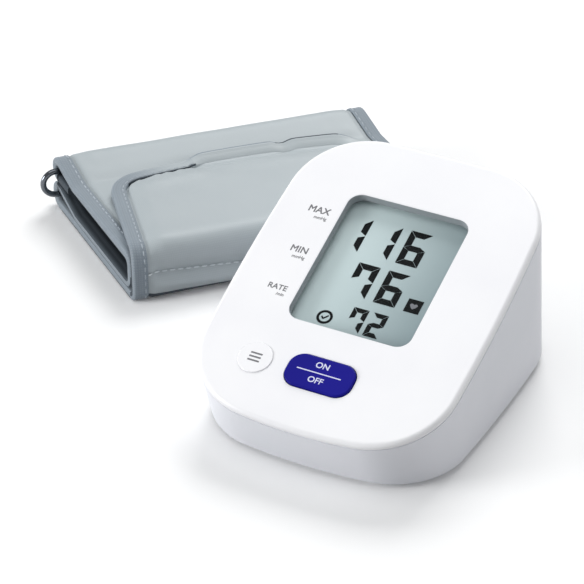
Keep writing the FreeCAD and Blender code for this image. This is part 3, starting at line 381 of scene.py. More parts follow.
def digit_bars(digit, left, low, width, height, stroke):
    """The lit bars, drawn about the middle of the digit and then moved to its place."""
    x = width / 2
    y = height / 2
    half = stroke / 2
    cap = [(x - BAR_GAP, y), (BAR_GAP - x, y)]
    cap += [(stroke + BAR_GAP - x, y - stroke), (x - stroke - BAR_GAP, y - stroke)]
    post = [(-x, y - BAR_GAP), (-x, BAR_GAP)]
    post += [(stroke - x, half + BAR_GAP), (stroke - x, y - stroke - BAR_GAP)]
    dash = [(BAR_GAP - x, 0), (stroke - x, -half), (x - stroke, -half)]
    bars = {"a": cap, "f": post, "g": dash + [(-u, -v) for u, v in dash]}
    bars["d"] = [(u, -v) for u, v in cap]
    bars["e"] = [(u, -v) for u, v in post]
    bars["b"] = [(-u, v) for u, v in post]
    bars["c"] = [(-u, -v) for u, v in post]
    return [[(left + x + u, low + y + v) for u, v in bars[bar]] for bar in LIT_BARS[digit]]


def display_point(x, y, out):
    return on_face(x, y, out - DISPLAY_DEPTH)


bars = []
for text, right, low, width, height, stroke, pitch in DIGIT_ROWS:
    for place, digit in enumerate(reversed(text)):
        bars.extend(digit_bars(digit, right - width - pitch * place, low, width, height, stroke))
plates("display_digits", bars, 0.0, BAR_RISE, display_point, CRYSTAL, "monitor", "lcd_glass")

# %% Display icons: a ring with a tick, and a square with a heart
RING_AT = (-12.6, -14.0)
RING_R = 3.1
RING_T = 1.0
RING_STEPS = 28
TICK = ((-1.2, 0.1, -0.3, -0.9), (-0.4, -0.9, 1.3, 1.0))
TICK_W = 0.6
SQUARE_AT = (16.9, 0.7)
SQUARE_HALF = 3.0
SQUARE = ((-1, -1), (1, -1), (1, 1), (-1, 1))
HEART_SIZE = 1.5
HEART_STEPS = 26


def circle(x, y, radius, count):
    turns = spaced(0, 2 * math.pi, count)[:-1]
    return [(x + radius * math.cos(turn), y + radius * math.sin(turn)) for turn in turns]


def stroke_bar(x0, y0, x1, y1, width):
    side = Vector((y0 - y1, x1 - x0)).normalized() * (width / 2)
    ends = ((x0, y0, -1), (x1, y1, -1), (x1, y1, 1), (x0, y0, 1))
    return [(x + side.x * way, y + side.y * way) for x, y, way in ends]


def ring_outlines(x, y, outer, inner, count):
    big = circle(x, y, outer, count)
    small = circle(x, y, inner, count)
    return [[small[i - 1], big[i - 1], big[i], small[i]] for i in range(count)]


icon = ring_outlines(*RING_AT, RING_R, RING_R - RING_T, RING_STEPS)
x, y = RING_AT
icon += [stroke_bar(x + x0, y + y0, x + x1, y + y1, TICK_W) for x0, y0, x1, y1 in TICK]
x, y = SQUARE_AT
icon.append([(x + SQUARE_HALF * i, y + SQUARE_HALF * j) for i, j in SQUARE])
plates("display_icons", icon, 0.0, BAR_RISE, display_point, CRYSTAL, "monitor", "lcd_glass")
heart = []
for turn in spaced(0, 2 * math.pi, HEART_STEPS)[:-1]:
    rise = (13 * math.cos(turn) - 5 * math.cos(2 * turn) - 2 * math.cos(3 * turn)) / 16
    heart.append((x + HEART_SIZE * math.sin(turn) ** 3, y + HEART_SIZE * rise))
plates("display_heart", [heart], BAR_RISE, 2 * BAR_RISE, display_point, GREY_ABS, "monitor", "lcd_glass")

# %% [markdown]
# ## The screen surround
# A thin grey liner covers the wall of the screen recess, so that the wall shows grey, and stays clear of the
# face.

# %% Grey liner of the recess
SCREEN_HALF = 24.7
SCREEN_LOW = -21.5
SCREEN_HIGH = 39.4
SCREEN_CORNER = 5.5
ARC_STEPS = 10
LINER_T = 0.12
LINER_GAP = 0.01
LINER_TOP = -0.25
LINER_DEPTH = -3.48


def screen_outline(inside, radius):
    """The outline of the recess, this far inside it."""
    x = SCREEN_HALF - inside - radius
    low = SCREEN_LOW + inside + radius
    high = SCREEN_HIGH - inside - radius
    outline = []
    for quarter, (across, up) in enumerate(((x, high), (-x, high), (-x, low), (x, low))):
        start = quarter * math.pi / 2
        for angle in spaced(start, start + math.pi / 2, ARC_STEPS):
            outline.append((across + radius * math.cos(angle), up + radius * math.sin(angle)))
    return outline


outer = screen_outline(LINER_GAP, SCREEN_CORNER)
inner = screen_outline(LINER_T, SCREEN_CORNER - LINER_T)
rings = ((outer, LINER_TOP), (inner, LINER_TOP), (inner, LINER_DEPTH), (outer, LINER_DEPTH))
points = [on_face(x, y, out) for outline, out in rings for x, y in outline]
faces = strip_faces(len(rings), len(outer), loop=True)
make_piece("screen_surround", points, faces, RECESS_LINER_GREY, "monitor")
print("liner points", len(points))

# %% [markdown]
# ## Prints on the face and the buttons
# The words and marks are pad printed ink, a few hundredths of a millimetre thick. They are short generic
# words and plain marks, made as text and turned into thin plates on the surface that carries them.

# %% Ink and words
INK_T = 0.03
CAP_SHARE = 0.72
BOLD = 0.022
COPY_STEP = 0.002
CURVE_STEPS = 4
ink = {"Roughness": 0.6, "IOR": 1.48}
GREY_INK = clouded("grey_pad_print", ink, 1.2, 3.0, "#6E6E72", "#77777B")
PALE_INK = clouded("pale_pad_print", ink, 1.2, 3.0, "#CFD2EC", "#D9DBF2")


def fatten(mesh, amount):
    """Four shifted copies of thin letters read as one bolder print."""
    work = bmesh.new()
    for level, (x, y) in enumerate(((-1, -1), (1, -1), (-1, 1), (1, 1))):
        copy = mesh.copy()
        copy.transform(Matrix.Translation((x * amount, y * amount, level * COPY_STEP * MM)))
        work.from_mesh(copy)
        bpy.data.meshes.remove(copy)
    work.to_mesh(mesh)
    work.free()


def word(name, text, x, y, out, cap, align, material, body):
    curve = bpy.data.curves.new(name, "FONT")
    curve.body = text
    curve.align_x = align
    curve.size = cap / CAP_SHARE * MM
    curve.extrude = INK_T / 2 * MM
    curve.resolution_u = CURVE_STEPS
    holder = add_object(name + "_text", curve)
    bpy.context.view_layer.update()
    drawn = holder.evaluated_get(bpy.context.evaluated_depsgraph_get())
    mesh = bpy.data.meshes.new_from_object(drawn)
    bpy.data.objects.remove(holder)
    fatten(mesh, BOLD * cap * MM)
    turn = Matrix((FACE_ACROSS, FACE_UP, FACE_OUT)).transposed().to_4x4()
    mesh.transform(Matrix.Translation(on_face(x, y, out + INK_T / 2)) @ turn)
    mesh.materials.clear()
    mesh.materials.append(material)
    mesh.name = name
    mount(name, mesh, body)


LABEL_EDGE = -28.8
LABELS = (
    ("label_high", "MAX", 26.0, 3.0), ("label_high_unit", "mmHg", 23.3, 1.4),
    ("label_low", "MIN", 6.7, 2.9), ("label_low_unit", "mmHg", 4.0, 1.4),
    ("label_rate", "RATE", -11.4, 2.4), ("label_rate_unit", "/min", -13.8, 1.3),
)
for name, text, up, cap in LABELS:
    word(name, text, LABEL_EDGE, up, 0.0, cap, "RIGHT", GREY_INK, "monitor")
print("face labels", len(LABELS))

# %% Marks on the buttons, and a pale ring in the gap of the round one
START_RISE = 0.9
START_X = -0.7
START_CAP = 2.5
START_WORDS = (("start_on", "ON", -39.3), ("start_off", "OFF", -45.8))
START_LINE = (-9.6, -41.5, 8.0, -41.5, 0.45)
MEMORY_RISE = 0.4
MEMORY_AT = (-26.5, -42.1)
MEMORY_BARS = [(-28.9, up, -24.2, up, 0.7) for up in (-40.4, -42.0, -43.6)]
GAP_RING = (6.96, 6.64)
GAP_RING_STEPS = 48
GAP_RING_OUT = (-0.6, -0.06)
for name, text, up in START_WORDS:
    word(name, text, START_X, up, START_RISE, START_CAP, "CENTER", PALE_INK, "start_button")
line = [stroke_bar(*START_LINE)]
plates("start_line", line, START_RISE, START_RISE + INK_T, on_face, PALE_INK, "start_button", "blue_abs")
bars = [stroke_bar(*bar) for bar in MEMORY_BARS]
plates("memory_bars", bars, MEMORY_RISE, MEMORY_RISE + INK_T, on_face, GREY_INK, "memory_button", "white_abs")
ring = ring_outlines(*MEMORY_AT, *GAP_RING, GAP_RING_STEPS)
plates("memory_gap_ring", ring, *GAP_RING_OUT, on_face, WHITE_ABS, "monitor", "white_abs")

# %% [markdown]
# ## Cloth of the cuff
# The cuff is a band of coated woven nylon with an air bladder inside. Seen closely it is a plain weave of
# threads a third of a millimetre wide, drawn twice as coarse so that it shows, with a soft sheen from the
# coating. Its edges are bound with ribbed polyester tape and sewn with a paler thread. Every cloth mesh is a
# strip of rows whose points carry their place along and across the band, so the weave follows each fold. A
# point attribute pales the tape towards the colour of the nylon as wear, and leaves a darker painted shadow
# line along the top edge of the hem. A dark grey cloth is painted shade: it covers the faces inside the roll,
# the front where it turns down to the table and the backs of the tapes, and makes thin shadow lines beside
# the flap's tape.

# %% Woven nylon, tape and thread
THREAD_MM = 0.7
RIB_MM = 1.0
SEWING_MM = 0.5
WEAR_MM = 18.0
WEAVE_DEPTH_MM = 0.1
WEAVE_LIMITS = {"From Min": 0.2, "From Max": 1.4}
CLOTH_SPREAD = 0.06
WAVES_PER_REPEAT = math.pi / 10
NYLON_COLOUR = "#AEB6B9"


def woven(name, colour, deep, roughness, sheen, relief, thread_mm, shine=0.3):
    values = {"Sheen Weight": sheen, "Sheen Roughness": 0.4, "Specular IOR Level": shine}
    material, tree, shader = start_material(name, values)
    place = add_node(tree, "Attribute", {}, attribute_name="place").outputs["Vector"]
    threads = {"Vector": place, "Scale": repeats(thread_mm) * WAVES_PER_REPEAT}
    warp = add_node(tree, "TexWave", threads, bands_direction="X").outputs["Fac"]
    weft = add_node(tree, "TexWave", threads, bands_direction="Y").outputs["Fac"]
    cloth = combine(tree, "MULTIPLY", warp, weft)
    wear = cloud(tree, place, WEAR_MM, 3.0)
    tint = blend(tree, remap(tree, combine(tree, "ADD", cloth, wear), WEAVE_LIMITS), deep, colour)
    wear_and_edge_shade = add_node(tree, "Attribute", {}, attribute_name="wear_and_edge_shade").outputs["Fac"]
    paled = add_node(tree, "Mix", {0: wear_and_edge_shade, 6: tint, 7: linear(NYLON_COLOUR)}, data_type="RGBA")
    tree.links.new(paled.outputs[2], shader.inputs["Base Color"])
    add_skin(tree, shader, wear, roughness, CLOTH_SPREAD, cloth, relief, WEAVE_DEPTH_MM)
    return material


def cloth_piece(name, rows, materials, finish=None):
    """A closed strip from rows of (point, place in millimetres), with a finish for each row and side."""
    pairs = [pair for row in rows for pair in row]
    points = [point for point, place in pairs]
    piece = make_piece(name, points, strip_faces(len(rows), len(rows[0])), materials[0], "cuff")
    add_place(piece, [place for point, place in pairs])
    for material in materials[1:]:
        piece.data.materials.append(material)
    if finish:
        for polygon in piece.data.polygons:
            polygon.material_index = finish(*divmod(min(polygon.vertices), len(rows[0])))
    return piece


def add_place(piece, places):
    layer = piece.data.attributes.new("place", "FLOAT_VECTOR", "POINT")
    layer.data.foreach_set("vector", [value * MM for place in places for value in place])


NYLON = woven("coated_woven_nylon", NYLON_COLOUR, "#A4ADB1", 0.45, 0.10, 0.15, THREAD_MM, shine=0.5)
# Painted shade: a dark grey cloth for faces that lie in shade inside the roll, under its front and beside the
# tape.
SHADE_CLOTH = woven("woven_cloth_painted_shade", "#495159", "#3E464D", 0.75, 0.03, 0.20, THREAD_MM)
TAPE = woven("ribbed_polyester_tape", "#8F99A1", "#808A93", 0.60, 0.20, 0.40, RIB_MM)
THREAD = woven("sewing_thread", "#B0B9C0", "#A2ABB3", 0.55, 0.20, 0.20, SEWING_MM)
SEAM_THREAD = woven("pale_sewing_thread", "#DDE3E6", "#D0D7DB", 0.55, 0.20, 0.20, SEWING_MM)
HOOK_PILE = woven("hook_pile", "#6A7076", "#5C6268", 0.70, 0.10, 0.80, 1.6)
LOOP_PILE = woven("loop_pile", "#8A9197", "#7D848A", 0.80, 0.40, 0.80, 1.2)
print("cloths ready")

# %% [markdown]
# ## The way of the band
# The band is one long strip. It starts with a short tail, turns round the ring, runs forward over the top,
# turns back through the inside, turns round the ring's lower bar, runs forward along the table and comes up
# over the front as the closing flap. A list of turns and lengths describes it, as for a toy turtle.

# %% Sizes of the roll
def table_way(degrees):
    angle = math.radians(degrees)
    return Vector((math.cos(angle), math.sin(angle), 0.0))


CUFF_CORNER = Vector((-108.7, 13.2, 0.0))
ALONG = table_way(46.2)
ACROSS = table_way(143.0)
ALONG_SQUARE = Vector((-ALONG.y, ALONG.x, 0.0))
UP = Vector((0, 0, 1))
CUFF_L = 135.3
BAND_T = 3.4
HALF = BAND_T / 2
LAYER_GAP = 0.4
ROLL_H = 23.6
ROLL_Z = ROLL_H / 2
NOSE_R = 7.5
NOSE_LOW_R = 3.0
NOSE_U = NOSE_R + HALF
INNER_NOSE_R = NOSE_R - BAND_T - LAYER_GAP
OUTER_REACH = ROLL_Z - HALF
INNER_REACH = OUTER_REACH - BAND_T - LAYER_GAP
NOSE_FLAT = 2 * (OUTER_REACH - NOSE_R)
NOSE_TUCK = NOSE_R - NOSE_LOW_R
BAR_U = 82.0
FOLD_R = 4.45
LOOP_R = 3.75
LOOP_TAIL = 12.0
LOOP_GAP = 0.5
LOW_BAR_Z = HALF + FOLD_R
LOOP_LOW_Z = LOW_BAR_Z + FOLD_R + BAND_T + LOOP_GAP
HIGH_BAR_Z = LOOP_LOW_Z + LOOP_R
TOP_SLOPE = 14.0
INNER_SLOPE = 16.0
BLEND_R = 9.0
TAPE_W = 6.0
print("roll", CUFF_L, "mm long and", ROLL_H, "mm high")


# %% Turns and runs of the band
def slope_run(rise, slope):
    angle = math.radians(slope)
    straight = (rise - 2 * BLEND_R * (1 - math.cos(angle))) / math.sin(angle)
    return straight, straight * math.cos(angle) + 2 * BLEND_R * math.sin(angle)


drop, drop_reach = slope_run(HIGH_BAR_Z + LOOP_R - ROLL_Z - INNER_REACH, TOP_SLOPE)
climb, climb_reach = slope_run(LOW_BAR_Z + FOLD_R - ROLL_Z + INNER_REACH, INNER_SLOPE)
FLAT = BAR_U - NOSE_U
# Each layer's moves: degrees of turn, and the turn's radius or the length of a straight run.
BAND_STEPS = (
    ("tail", (0, LOOP_TAIL)),
    ("loop", (180, LOOP_R)),
    ("top", (TOP_SLOPE, BLEND_R), (0, drop), (-TOP_SLOPE, BLEND_R), (0, FLAT - drop_reach)),
    ("inside", (90, INNER_NOSE_R), (0, NOSE_FLAT), (90, INNER_NOSE_R), (0, FLAT - climb_reach)),
    ("inside", (INNER_SLOPE, BLEND_R), (0, climb), (-INNER_SLOPE, BLEND_R)),
    ("fold", (-180, FOLD_R)),
    ("bottom", (0, FLAT + NOSE_TUCK)),
    ("nose", (-90, NOSE_LOW_R), (0, NOSE_FLAT + NOSE_TUCK), (-90, NOSE_R)),
)
MOVES = [(layer, turn, size) for layer, *moves in BAND_STEPS for turn, size in moves]
print("turns and runs of the band", len(MOVES))

# %% Walk along the band
RUN_STEP = {"nose": 0.7, "bottom": 3.0}
RUN_STEP_ELSE = 1.6
TURN_STEP = {"nose": 5.0}
TURN_STEP_ELSE = 9.0


class Station:
    """A place along the band: across the roll, height, heading, length so far and the layer's name."""

    def __init__(self, u, z, heading, length, layer):
        self.u = u
        self.z = z
        self.length = length
        self.heading = heading
        self.layer = layer
        aim = math.radians(heading)
        self.forward = ACROSS * math.cos(aim) + UP * math.sin(aim)
        self.out = UP * math.cos(aim) - ACROSS * math.sin(aim)

    def point(self, along, out):
        middle = CUFF_CORNER + ACROSS * self.u + ALONG * along + UP * self.z
        return (middle + self.out * out) * MM


def next_station(first, layer, turn, size, share):
    aim = math.radians(first.heading)
    if turn == 0:
        u = first.u + math.cos(aim) * size * share
        z = first.z + math.sin(aim) * size * share
        return Station(u, z, first.heading, first.length + size * share, layer)
    side = math.copysign(size, turn)
    after = math.radians(first.heading + turn * share)
    u = first.u + side * (math.sin(after) - math.sin(aim))
    z = first.z - side * (math.cos(after) - math.cos(aim))
    length = first.length + math.radians(abs(turn)) * size * share
    return Station(u, z, math.degrees(after), length, layer)


def on_layers(*layers):
    return [station for station in STATIONS if station.layer in layers]


STATIONS = [Station(BAR_U - LOOP_TAIL, LOOP_LOW_Z, 0.0, 0.0, "tail")]
for layer, turn, size in MOVES:
    count = math.ceil(size / RUN_STEP.get(layer, RUN_STEP_ELSE))
    if turn != 0:
        count = math.ceil(abs(turn) / TURN_STEP.get(layer, TURN_STEP_ELSE))
    first = STATIONS[-1]
    STATIONS += [next_station(first, layer, turn, size, share) for share in spaced(0, 1, count)[1:]]
NOSE_END = STATIONS[-1]
print("stations", len(STATIONS), "up to", round(NOSE_END.length, 1), "mm")

# %% [markdown]
# ## The edge of the flap
# The flap leaves the front of the roll with its full width and narrows towards its end, which is a shallow
# arc with rounded corners. Its outline is a leaning line, a corner arc and half of the end arc, seen twice.

# %% Outline of the flap
FLAP_U = 60.0
FLAP_START = 12.0
FLAP_NOTCH = 2.5
FLAP_TAPER = 13.0
FLAP_CROWN = 4.5
FLAP_CORNER_R = 18.0
FLAP_TIP = FLAP_U + FLAP_CROWN
FRONT_STEPS = 4
SIDE_STEPS = 22
CORNER_STEPS = 16
END_STEPS = 24
LEAN = math.atan2(FLAP_TAPER - FLAP_NOTCH, FLAP_U - FLAP_START)
SIDE_START = Vector((FLAP_START, FLAP_NOTCH))
SIDE_WAY = Vector((math.cos(LEAN), math.sin(LEAN)))
SIDE_IN = Vector((-math.sin(LEAN), math.cos(LEAN)))
END_HALF = CUFF_L / 2 - FLAP_TAPER
END_R = (END_HALF ** 2 + FLAP_CROWN ** 2) / (2 * FLAP_CROWN)
END_MIDDLE = Vector((FLAP_TIP - END_R, CUFF_L / 2))
spread = SIDE_START + SIDE_IN * FLAP_CORNER_R - END_MIDDLE
side_part = spread.dot(SIDE_WAY)
SIDE_RUN = math.sqrt(side_part ** 2 - spread.length_squared + (END_R - FLAP_CORNER_R) ** 2) - side_part
CORNER = SIDE_START + SIDE_IN * FLAP_CORNER_R + SIDE_WAY * SIDE_RUN
CORNER_TURN = math.atan2(CORNER.x - END_MIDDLE.x, END_MIDDLE.y - CORNER.y)
TURN_BACK = NOSE_R * math.pi / 2
EASE = TURN_BACK + FLAP_START - NOSE_U
print("flap corner centre", [round(value, 1) for value in CORNER])


# %% Places on the flap
def smooth(value, low, high):
    share = min(max((value - low) / (high - low), 0.0), 1.0)
    return share * share * (3 - 2 * share)


def edge_ease(past):
    """How far the edge stands in, this far past the place where the front starts to turn back."""
    share = min(max(past / EASE, 0.0), 1.0)
    run = EASE * math.tan(LEAN)
    return (3 * FLAP_NOTCH - run) * share ** 2 + (run - 2 * FLAP_NOTCH) * share ** 3


def past_turn(station):
    return station.length - NOSE_END.length + TURN_BACK


def round_point(middle, radius, angle):
    return middle + Vector((math.sin(angle), -math.cos(angle))) * radius


def left_edge(inside):
    """Half of the outline, this far inside it, from the roll's front to the middle of the flap's end."""
    edge = []
    for u in spaced(NOSE_U, FLAP_START, FRONT_STEPS)[:-1]:
        edge.append(Vector((u, edge_ease(TURN_BACK + u - NOSE_U))) + SIDE_IN * inside)
    for run in spaced(0, SIDE_RUN, SIDE_STEPS)[:-1]:
        edge.append(SIDE_START + SIDE_WAY * run + SIDE_IN * inside)
    for angle in spaced(LEAN, CORNER_TURN, CORNER_STEPS)[:-1]:
        edge.append(round_point(CORNER, FLAP_CORNER_R - inside, angle))
    for angle in spaced(CORNER_TURN, math.pi / 2, END_STEPS):
        edge.append(round_point(END_MIDDLE, END_R - inside, angle))
    return edge


def flap_depth(u, along):
    """How deep inside the flap's outline a place lies."""
    spot = Vector((u, min(along, CUFF_L - along)))
    from_corner = spot - CORNER
    angle = math.atan2(from_corner.x, -from_corner.y)
    if LEAN < angle < CORNER_TURN:
        return FLAP_CORNER_R - from_corner.length
    return min((spot - SIDE_START).dot(SIDE_IN), END_R - (spot - END_MIDDLE).length)


print("depth at the middle of the flap", round(flap_depth(FLAP_U / 2, CUFF_L / 2), 1), "mm")

# %% [markdown]
# ## How soft the band is
# Between the bound edges the bladder swells the cloth, the seam across the front pulls it in, and the flap's
# end stands up a little in two waves. The moves are small and are made only where the cloth shows, so that
# the layers inside the roll stay clear of each other. Smooth noise adds the slack of real cloth.

# %% Swelling, slack and lift
SWELL = 1.0
TOP_SWELL = 0.5
SWELL_Z = (15.0, 23.0)
EDGE_SOFT = 8.0
SLACK = 0.30
SLACK_MM = 24.0
PUCKER = 0.55
PUCKER_MM = 7.0
PUCKER_REACH = 9.0
GATHER = 1.2
GATHER_MM = 3.5
GATHER_LONG_MM = 10.0
GATHER_REACH = 6.0
LIP = 0.5
LIP_EASE = (0.2, 1.6)
# Humps: how much, how far above the seam, and their reach.
BELLY = (1.2, -5.0, 2.4)
GROOVE = ((0.9, 0.0, 0.9), (1.3, 1.0, 3.6))
GROOVE_EASE = (-0.5, 5.0)
TURNED_DOWN = (0.2, 0.9)
UNDER = 0.5
UNDER_Z = (2.0, 7.0)
UNDER_EASE = 30.0
SEAM_Z = 13.2
SEAM_FALL = 0.07
SEAM_LOWEST = 9.4
LIFT_REACH = 13.0
LIFT_U = (36.0, 52.0)
# Waves along the flap's end: start, full height, start of the fade, end, and rise.
LIFT_WAVES = ((46.0, 55.0, 84.0, 91.0, 2.8), (86.0, 95.0, 112.0, 126.0, 2.9))
HEM_START = (46.0, 54.0)
HEM_STOP = (114.0, 122.0)
HEM_CALM = 0.8
END_U = (44.0, 54.0)


def seam_height(along):
    return max(SEAM_Z - SEAM_FALL * along, SEAM_LOWEST)


def flap_lift(u, along):
    height = 0.0
    for start, full, fade, end, rise in LIFT_WAVES:
        height += rise * smooth(along, start, full) * (1 - smooth(along, fade, end))
    return height * (1 - smooth(flap_depth(u, along), 0.0, LIFT_REACH)) * smooth(u, *LIFT_U)


def hem_share(along):
    """One along the hem in the middle of the flap's end, and zero where the tape binds it."""
    return smooth(along, *HEM_START) * (1 - smooth(along, *HEM_STOP))


def slack(length, along, depth):
    broad = noise.noise(Vector((length, along, 0.0)) / SLACK_MM)
    pucker = noise.noise(Vector((length / PUCKER_MM, along / PUCKER_MM, 3.0)))
    return SLACK * broad + PUCKER * pucker * math.exp(-max(depth, 0.0) / PUCKER_REACH)


def hump(above, much, place, reach):
    return much * math.exp(-((above - place) / reach) ** 2)


def nose_swell(station, along):
    """The front is full at the top, drawn in at its seam, full again below it, and tucked in at the table."""
    z = station.z
    edge = min(along, CUFF_L - along) - edge_ease(past_turn(station)) - TAPE_W
    above = z - seam_height(along)
    groove = sum(hump(above, *part) for part in GROOVE)
    full = SWELL * smooth(z, *SWELL_Z) + hump(above, *BELLY) + slack(station.length, along, edge)
    form = full * smooth(edge, 0.0, EDGE_SOFT) - groove * smooth(edge, *GROOVE_EASE)
    under = UNDER * (1 - smooth(z, *UNDER_Z)) * smooth(edge, 0.0, UNDER_EASE)
    return form * (1 - smooth(-station.out.z, *TURNED_DOWN)) - under


def flap_swell(u, along):
    """The flap is full between its edges, and its cloth is gathered beside the tape of its end."""
    length = NOSE_END.length + u - NOSE_U
    depth = flap_depth(u, along) - TAPE_W
    ripple = noise.noise(Vector((u / GATHER_LONG_MM, along / GATHER_MM, 5.0)))
    gather = GATHER * ripple * math.exp(-max(depth, 0.0) / GATHER_REACH)
    puff = (SWELL + slack(length, along, depth)) * smooth(depth, 0.0, EDGE_SOFT)
    lip = (LIP + gather) * smooth(depth, *LIP_EASE) * smooth(u, *END_U)
    return puff + lip * (1 - HEM_CALM * hem_share(along))


def top_swell(station, along):
    edge = min(along, CUFF_L - along) - TAPE_W
    past_flap = smooth(station.u, FLAP_TIP, FLAP_TIP + EDGE_SOFT)
    return (TOP_SWELL + slack(station.length, along, edge)) * smooth(edge, 0.0, EDGE_SOFT) * past_flap


def roll_swell(station, along, side):
    """How far the cloth stands out from its flat form, in millimetres, on one side of the band."""
    if station.layer == "nose" and side > 0:
        return nose_swell(station, along)
    if station.layer in ("top", "loop") and side < 0:
        return top_swell(station, along)
    return 0.0


print("swell near the middle of the flap", round(flap_swell(FLAP_U / 2, CUFF_L / 2), 2), "mm")

# %% [markdown]
# ## The band itself
# A cloth simulation could swell the band, but its layers lie less than half a millimetre apart and would
# catch on each other. The band is a fine grid instead, swept along its way, and every point is moved by the
# swelling. Over the flap the grid is stretched between the four edges of the outline.

# %% Rows of the roll
ACROSS_COUNT = 100
CROWD = 0.6
TUCK = 2.0
PRESS_IN = 0.3
# Creases beside the tape: depth and width.
SIDE_CREASE = Vector((0.6, 2.0))
END_CREASE = Vector((1.4, 0.9))
HEM_CREASE = Vector((1.3, 5.0))
# Shares of the way across, closer together near both ends.
turns = spaced(0, math.pi, ACROSS_COUNT)
SHARES = [CROWD * (1 - math.cos(turn)) / 2 + (1 - CROWD) * turn / math.pi for turn in turns]
BOTH_SIDES = [(1, share) for share in SHARES] + [(-1, 1 - share) for share in SHARES]


def cloth_half(from_edge, crease, width):
    """Half of the cloth's thickness, which the tape presses together at the edges."""
    inner = TAPE_W + PRESS_IN
    return HALF - crease * (1 - smooth(from_edge, inner, inner + width))


def roll_row(station):
    low = TUCK + (edge_ease(past_turn(station)) if station.layer == "nose" else 0.0)
    row = []
    for side, share in BOTH_SIDES:
        along = low + (CUFF_L - 2 * low) * share
        thick = cloth_half(min(along, CUFF_L - along) - low + TUCK, *SIDE_CREASE)
        out = side * (thick + roll_swell(station, along, side))
        row.append((station.point(along, out), (station.length, along, 0.0)))
    return row


print("points in a row", len(BOTH_SIDES))

# %% Rows of the flap
FLAP_ROWS = 34
CREASE_ROWS = 26
CREASE_START = 0.80
CREASE_U = (40.0, 52.0)
row_shares = spaced(0, CREASE_START, FLAP_ROWS)[1:] + spaced(CREASE_START, 1, CREASE_ROWS)[1:]


def mix(first, second, share):
    return first + (second - first) * share


def along_path(path, share):
    """The point at this share of a path's length."""
    lengths = [(b - a).length for a, b in zip(path, path[1:])]
    goal = share * sum(lengths)
    for (a, b), length in zip(zip(path, path[1:]), lengths):
        if goal <= length:
            return a.lerp(b, goal / length)
        goal -= length
    return path[-1]


def flap_point(u, along, out):
    height = NOSE_END.z + out + flap_lift(u, along)
    return (CUFF_CORNER + ACROSS * u + ALONG * along + UP * height) * MM


def mirror(spot):
    return Vector((spot.x, CUFF_L - spot.y))


half_edge = left_edge(TUCK)
MIDDLE_OF_CORNER = FRONT_STEPS + SIDE_STEPS + CORNER_STEPS // 2
side_path = half_edge[:MIDDLE_OF_CORNER + 1]
half_end = half_edge[MIDDLE_OF_CORNER:]
end_path = half_end + [mirror(spot) for spot in reversed(half_end[:-1])]
front_path = [half_edge[0], mirror(half_edge[0])]


def flap_spot(share, row_share):
    """A place on the flap, stretched between its front, its sides and its end."""
    left = along_path(side_path, row_share)
    sides = mix(left, mirror(left), share)
    ends = mix(along_path(front_path, share), along_path(end_path, share), row_share)
    low = mix(front_path[0], front_path[1], share)
    high = mix(end_path[0], end_path[-1], share)
    return sides + ends - mix(low, high, row_share)


def flap_row(row_share):
    row = []
    for side, share in BOTH_SIDES:
        u, along = flap_spot(share, row_share)
        crease = mix(END_CREASE, HEM_CREASE, hem_share(along))
        thick = cloth_half(flap_depth(u, along), *mix(SIDE_CREASE, crease, smooth(u, *CREASE_U)))
        swell = flap_swell(u, along) if side > 0 else 0.0
        place = (NOSE_END.length + u - NOSE_U, along, 0.0)
        row.append((flap_point(u, along, side * (thick + swell)), place))
    return row


print("rows of the flap", len(row_shares))

# %% Sew the band
SHADED_LAYERS = ("inside", "tail", "top", "bottom")
SHADED_BELOW = -0.3


def band_finish(row, side):
    """The outer side takes the dark cloth of painted shade where it lies inside the roll or turns down to the
    table.
    """
    if row >= len(STATIONS) or side >= ACROSS_COUNT:
        return 0
    station = STATIONS[row]
    return int(station.layer in SHADED_LAYERS or (station.layer == "nose" and station.out.z < SHADED_BELOW))


rows = [roll_row(station) for station in STATIONS] + [flap_row(row_share) for row_share in row_shares]
band = cloth_piece("cuff_cloth", rows, (NYLON, SHADE_CLOTH), band_finish)
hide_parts("cuff_band")
print("band rows", len(rows), "and length", round(NOSE_END.length + FLAP_TIP - NOSE_U, 1), "mm")

# %% [markdown]
# ## The bound edges
# The tape is folded over the raw edge of the cloth and sewn down. A closed section with a round outer edge
# and a shallow dip is swept along each edge. It is a little thicker than the band, so its inner edge shows as
# a step. One tape runs up the left of the front, round the flap and down the right. Two more bind the ends of
# the roll. Inside the roll the tape is faced with the dark grey cloth of painted shade. In the middle of the
# flap's end it has the band's own cloth, which makes a round hem there, with a painted shadow line along its
# top edge.

# %% Tape section and sweep
TAPE_RISE = 0.10
TAPE_HALF = HALF + TAPE_RISE
TAPE_FACE = 0
SHADE_FACE = 1
HEM_FACE = 2
PALE_SIDES = (8, 9, 10)
HALF_SECTION = (
    (0.0, 0.0), (0.03, 0.38), (0.15, 0.75), (0.6, 0.95), (1.3, 1.0),
    (2.0, 0.99), (2.5, 0.93), (3.0, 0.98), (5.7, 1.0), (6.0, 0.86),
)
TAPE_SECTION = [(x, y * TAPE_HALF) for x, y in reversed(HALF_SECTION)]
TAPE_SECTION += [(x, -y * TAPE_HALF) for x, y in HALF_SECTION[1:]]


def sweep_tape(name, frames, replaced, finish):
    """frames are (edge point, inward, out, length so far), all but the length as vectors."""
    rows = []
    for edge, inward, out, length in frames:
        row = []
        for x, y in TAPE_SECTION:
            point = edge + (inward * x + out * y) * MM
            point.z = max(point.z, 0.0)
            row.append((point, (length, x + (0.0 if y > 0 else TAPE_W), 0.0)))
        rows.append(row)
    piece = cloth_piece(name, rows, (TAPE, SHADE_CLOTH, NYLON), finish)
    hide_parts(replaced)
    print(name, "sections", len(frames))
    return piece


